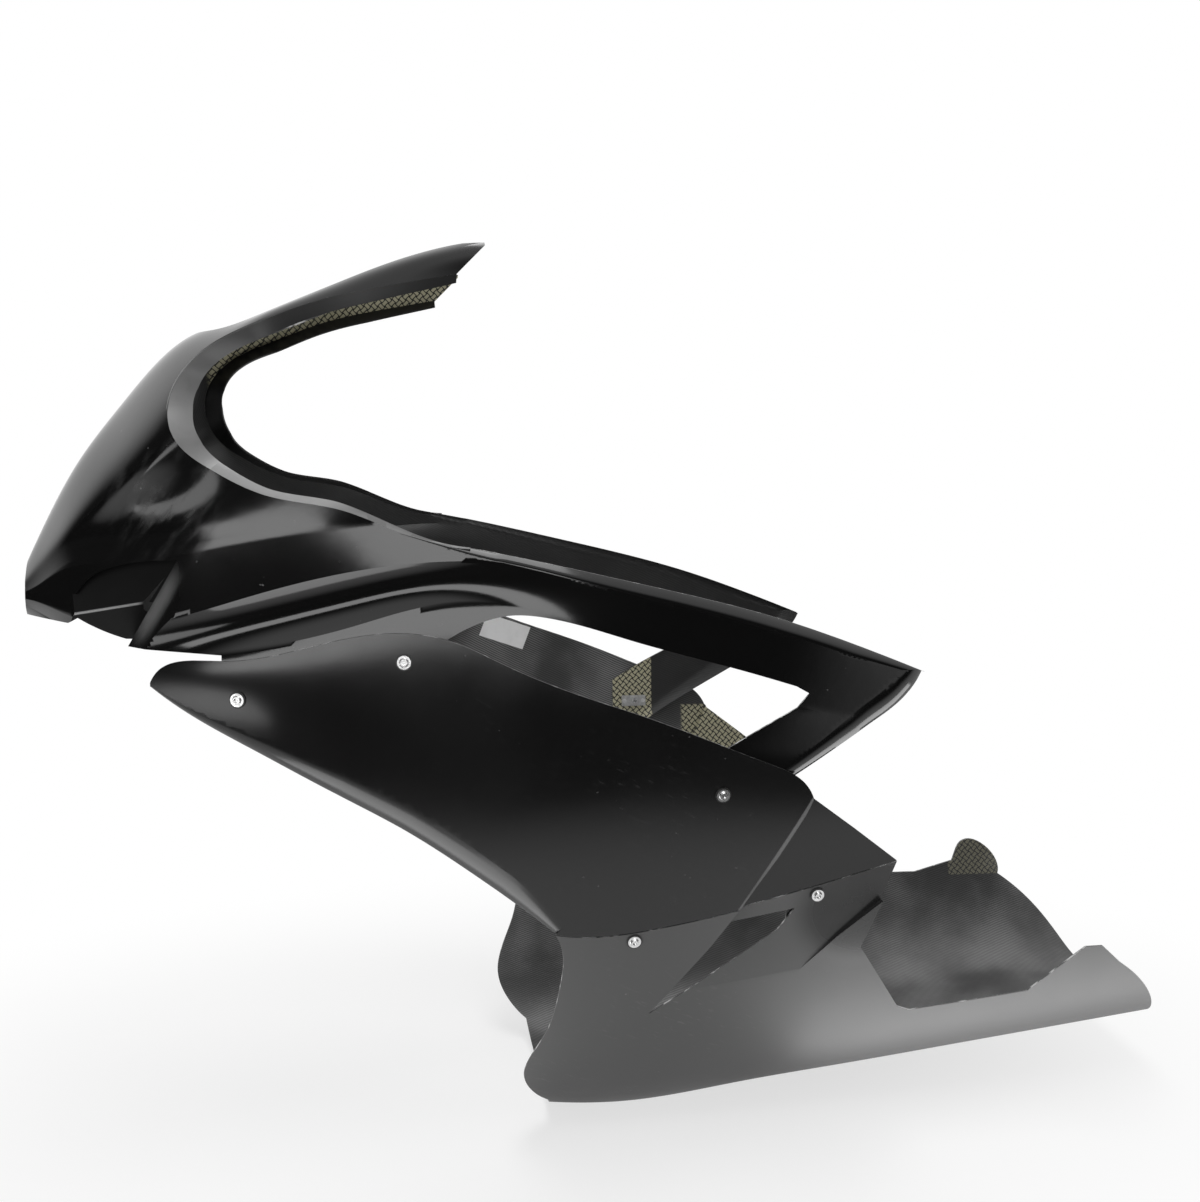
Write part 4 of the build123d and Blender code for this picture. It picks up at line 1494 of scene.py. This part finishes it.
@dataclass
class BlankLabel:
    """The white label inside the right side panel, with nothing printed on it."""

    form: BodyForm
    paper: Finish = StainedFinish("label_paper", level=0.8, shine=0.5, metal=0.0, stained=0.9,
                                  stains=Grain(60.0, 3.0, (0.4, 0.8)))
    corner: Point = (414.0, -119.0)
    along: Point = (-57.0, 20.5)
    up: Point = (11.0, 29.0)
    samples: tuple[int, int] = (8, 14)
    lift: float = 0.4

    def build(self) -> Thing:
        """Lays the label on the inner face of the panel.

        Returns:
            The finished mesh object.
        """
        rows, columns = self.samples
        surface = np.empty((rows, columns, 3))
        for i, rise in enumerate(np.linspace(0.0, 1.0, rows)):
            for j, run in enumerate(np.linspace(0.0, 1.0, columns)):
                x = self.corner[0] + self.along[0] * run + self.up[0] * rise
                z = self.corner[1] + self.along[1] * run + self.up[1] * rise
                point, normal = self.form.side_point(x, z, Side.RIGHT, -JOINT_GAP)
                surface[i, j] = point - normal * self.lift
        label = Bench.sheet(surface)
        label.name = "blank_label"
        label.data.materials.append(self.paper.make())
        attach(label, ROOT)
        return label


@dataclass(frozen=True)
class Softbox:
    """One soft light: where it hangs, what it is turned to, its sides, its power and its shape."""

    name: str
    place: Place
    aim: Place
    size: Point
    power: float
    shape: BoxShape = BoxShape.RECTANGLE


@dataclass
class Studio:
    """A pale floor, soft light and the camera."""

    eye: Place = (0.2, -1.62, 0.2)
    turn: float = 9.684
    tilt: float = 7.751
    focal: float = 1440.0
    picture: tuple[int, int] = (1200, 1202)
    sensor: float = 36.0
    near_clip: float = 0.05
    floor_size: float = 60.0
    floor_drop: float = 0.0015
    floor_levels: Point = (0.03, 0.9)
    floor_dullness: float = 0.9
    shadow: float = 0.34
    shadow_place: Point = (0.45, 0.0)
    shadow_reach: Place = (1.15, 0.8, 1.0)
    shadow_soft: float = 0.8
    ambient: float = 0.3
    room: float = 0.03
    paper_edge: Point = (-0.95, -0.4)
    paper_end: Point = (-4.6, -1.8)
    side_dimming: float = 0.36
    side_paper: Place = (0.2, 0.95, 0.75)
    side_paper_lean: float = 0.5
    side_paper_edge: Point = (-2.0, -1.5)
    ceiling: Place = (0.3, 0.75, 1.0)
    dark_to: float = -0.1
    white_from: float = 0.55
    softboxes: tuple[Softbox, ...] = (
        Softbox("top_softbox", (0.7, -0.1, 2.3), (0.4, -0.1, 0.0), (3.0, 1.2), 45.0),
        Softbox("front_strip", (-0.8, -2.05, 0.25), (-0.8, 0.0, 0.25), (2.9, 0.5), 20.0),
        Softbox("front_glow", (0.08, -0.34, -0.588), (0.08, -0.34, 0.0), (0.5, 0.34), 1.4),
        Softbox("rear_glow", (1.12, -0.25, -0.588), (1.12, -0.25, 0.0), (0.85, 0.2), 1.9),
        Softbox("front_card", (-1.1, -1.1, -0.58), (0.07, -0.2, -0.1), (1.1, 0.6), 4.6, BoxShape.ELLIPSE),
    )

    def camera(self) -> None:
        """Sets up the camera at the photograph's place."""
        turn = (math.radians(90.0 - self.tilt), 0.0, -math.radians(self.turn))
        bpy.ops.object.camera_add(location=self.eye, rotation=turn)
        camera = bpy.context.object
        camera.data.sensor_width = self.sensor
        camera.data.lens = self.sensor * self.focal / max(self.picture)
        camera.data.clip_start = self.near_clip
        bpy.context.scene.camera = camera

    def floor(self, low: float) -> None:
        """Lays the floor under the lowest point of the fairing.

        Args:
            low: Height of that point, in metres.
        """
        Bench.clear_selection()
        bpy.ops.mesh.primitive_plane_add(size=self.floor_size)
        floor = bpy.context.object
        floor.name = "studio_floor"
        Bench.set_vertices(floor, Bench.vertices(floor) + (0.0, 0.0, low - self.floor_drop))
        recipe = Recipe("studio_white")
        x, y, _ = recipe.axes
        paper = y.fade(*self.paper_edge) * x.fade(*self.paper_end)
        recipe.set(Base_Color=recipe.blend(paper, *map(grey, self.floor_levels)),
                   Roughness=self.floor_dullness, Specular_IOR_Level=0.0)
        low_edge, high_edge, level = self.side_paper
        aside = (x + y * self.side_paper_lean).fade(low_edge, high_edge, 0.0, level)
        aside = aside * y.fade(*self.side_paper_edge, 1.0, 0.0)
        mirrored = recipe.ray(Ray.GLOSSY) | recipe.ray(Ray.TRANSMISSION)
        seen = recipe.ray(Ray.CAMERA) | mirrored * (paper | aside)
        near = recipe.spot(Spot((*self.shadow_place, low), self.shadow_reach, self.shadow_soft))
        glow = recipe.node("ShaderNodeEmission", {}, {"Color": grey(1.0), "Strength": 1.0})
        recipe.feed(recipe.surface, recipe.mix(seen * (1.0 - near * self.shadow), recipe.shader, glow))
        floor.data.materials.append(recipe.material)
        floor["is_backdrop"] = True

    def light(self) -> None:
        """Hangs the softboxes."""
        for box in self.softboxes:
            direction = Vector(box.aim) - Vector(box.place)
            turn = direction.to_track_quat("-Z", "Y").to_euler()
            bpy.ops.object.light_add(type="AREA", location=box.place, rotation=turn)
            lamp = bpy.context.object
            lamp.name = box.name
            lamp.data.shape = box.shape.value
            lamp.data.size, lamp.data.size_y = box.size
            lamp.data.energy = box.power
            lamp.visible_camera = False

    def surroundings(self) -> None:
        """Sets a white backdrop behind the fairing and a dark room on the camera's side."""
        world = bpy.data.worlds.new("studio_surroundings")
        world.use_nodes = True
        sky = Graph(world.node_tree, "Generated")
        x, y, z = sky.axes
        behind = (x * self.side_dimming + y).fade(self.dark_to, self.white_from, self.room)
        low_edge, high_edge, level = self.ceiling
        above = z.fade(low_edge, high_edge, 0.0, level)
        backdrop, lighting, white = (
            sky.node("ShaderNodeBackground", {}, {"Color": grey(shade), "Strength": strength})
            for shade, strength in ((1.0, behind | above), (self.ambient, 1.0), (1.0, 1.0)))
        seen = sky.mix(sky.ray(Ray.CAMERA), sky.mix(sky.ray(Ray.GLOSSY), lighting, backdrop), white)
        sky.feed(sky.tree.nodes.new("ShaderNodeOutputWorld").inputs[0], seen)
        bpy.context.scene.world = world
        bpy.context.scene.view_settings.view_transform = "Standard"


def report(piece: Thing) -> None:
    """Logs the name of a piece and its number of faces."""
    LOG.info("%s: %d faces", piece.name, len(piece.data.polygons))


def main() -> None:
    """Builds the fairing piece by piece and reports each."""
    logging.basicConfig(level=logging.INFO, format="%(message)s")
    solids_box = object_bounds()
    gelcoat, twill = GlossGelcoat().make(), CarbonTwill().make()
    # The upper's inside: the same twill with its painted sheen kept faint
    bare = CarbonTwill("dark_laminate", dark=0.008, light=0.03, patches=(
        ((0.555, 0.23, -0.18), (0.032, 0.05, 0.06), 1.0),
        ((0.2, 0.19, 0.3), (0.17, 0.08, 0.09), 1.0))).make()
    # On the side panels the patch's grey is only the painted shade behind the step; the belly pan's patch
    # lies by its scoop ridge
    satin = SatinLaminate("satin_black_laminate", level=0.006, scratch=0.018, shine=0.17, dark_patch_and_painted_shade_level=0.003,
                          stepped=True).make()
    matt = SatinLaminate("satin_grey_laminate", level=0.066, scratch=0.1, shine=0.5, dark_patch_and_painted_shade_level=0.01,
                         dark_patch_and_painted_shade=Spot((0.735, -0.19, -0.335), (0.1, 0.1, 0.08), soft=0.45)).make()
    shared = {Layer.EDGE: TrimmedEdge().make(), Layer.LIP: MouldedLip().make(),
              Layer.RECESS: DarkRecess().make()}
    form = BodyForm()
    pieces = [(UpperFairing(form), gelcoat, bare), *((SidePanel(form, side), satin, twill) for side in Side),
              (BellyPan(form), matt, twill)]
    for piece, outside, inside in pieces:
        shell = piece.build()
        piece.dress(shell, {Layer.OUTSIDE: outside, Layer.INSIDE: inside, **shared})
        report(shell)
    report(BlankLabel(form).build())
    fasteners = {"panel_screws": StainedFinish("bright_zinc", level=0.75, shine=0.2),
                 "nut_plates": StainedFinish("plate_steel", level=0.5, shine=0.4),
                 "floating_nuts": StainedFinish("nut_steel", level=0.5, shine=0.4),
                 "screw_washers": BlackNylon(),
                 "nut_plate_rivets": StainedFinish("rivet_aluminium", level=0.7, shine=0.35)}
    for node, finish in fasteners.items():
        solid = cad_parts[node]
        solid.data.materials.clear()
        solid.data.materials.append(finish.make())
        report(solid)
    studio = Studio()
    studio.camera()
    studio.floor(float(solids_box[0][2]))
    studio.light()
    studio.surroundings()


if __name__ == "__main__":
    main()
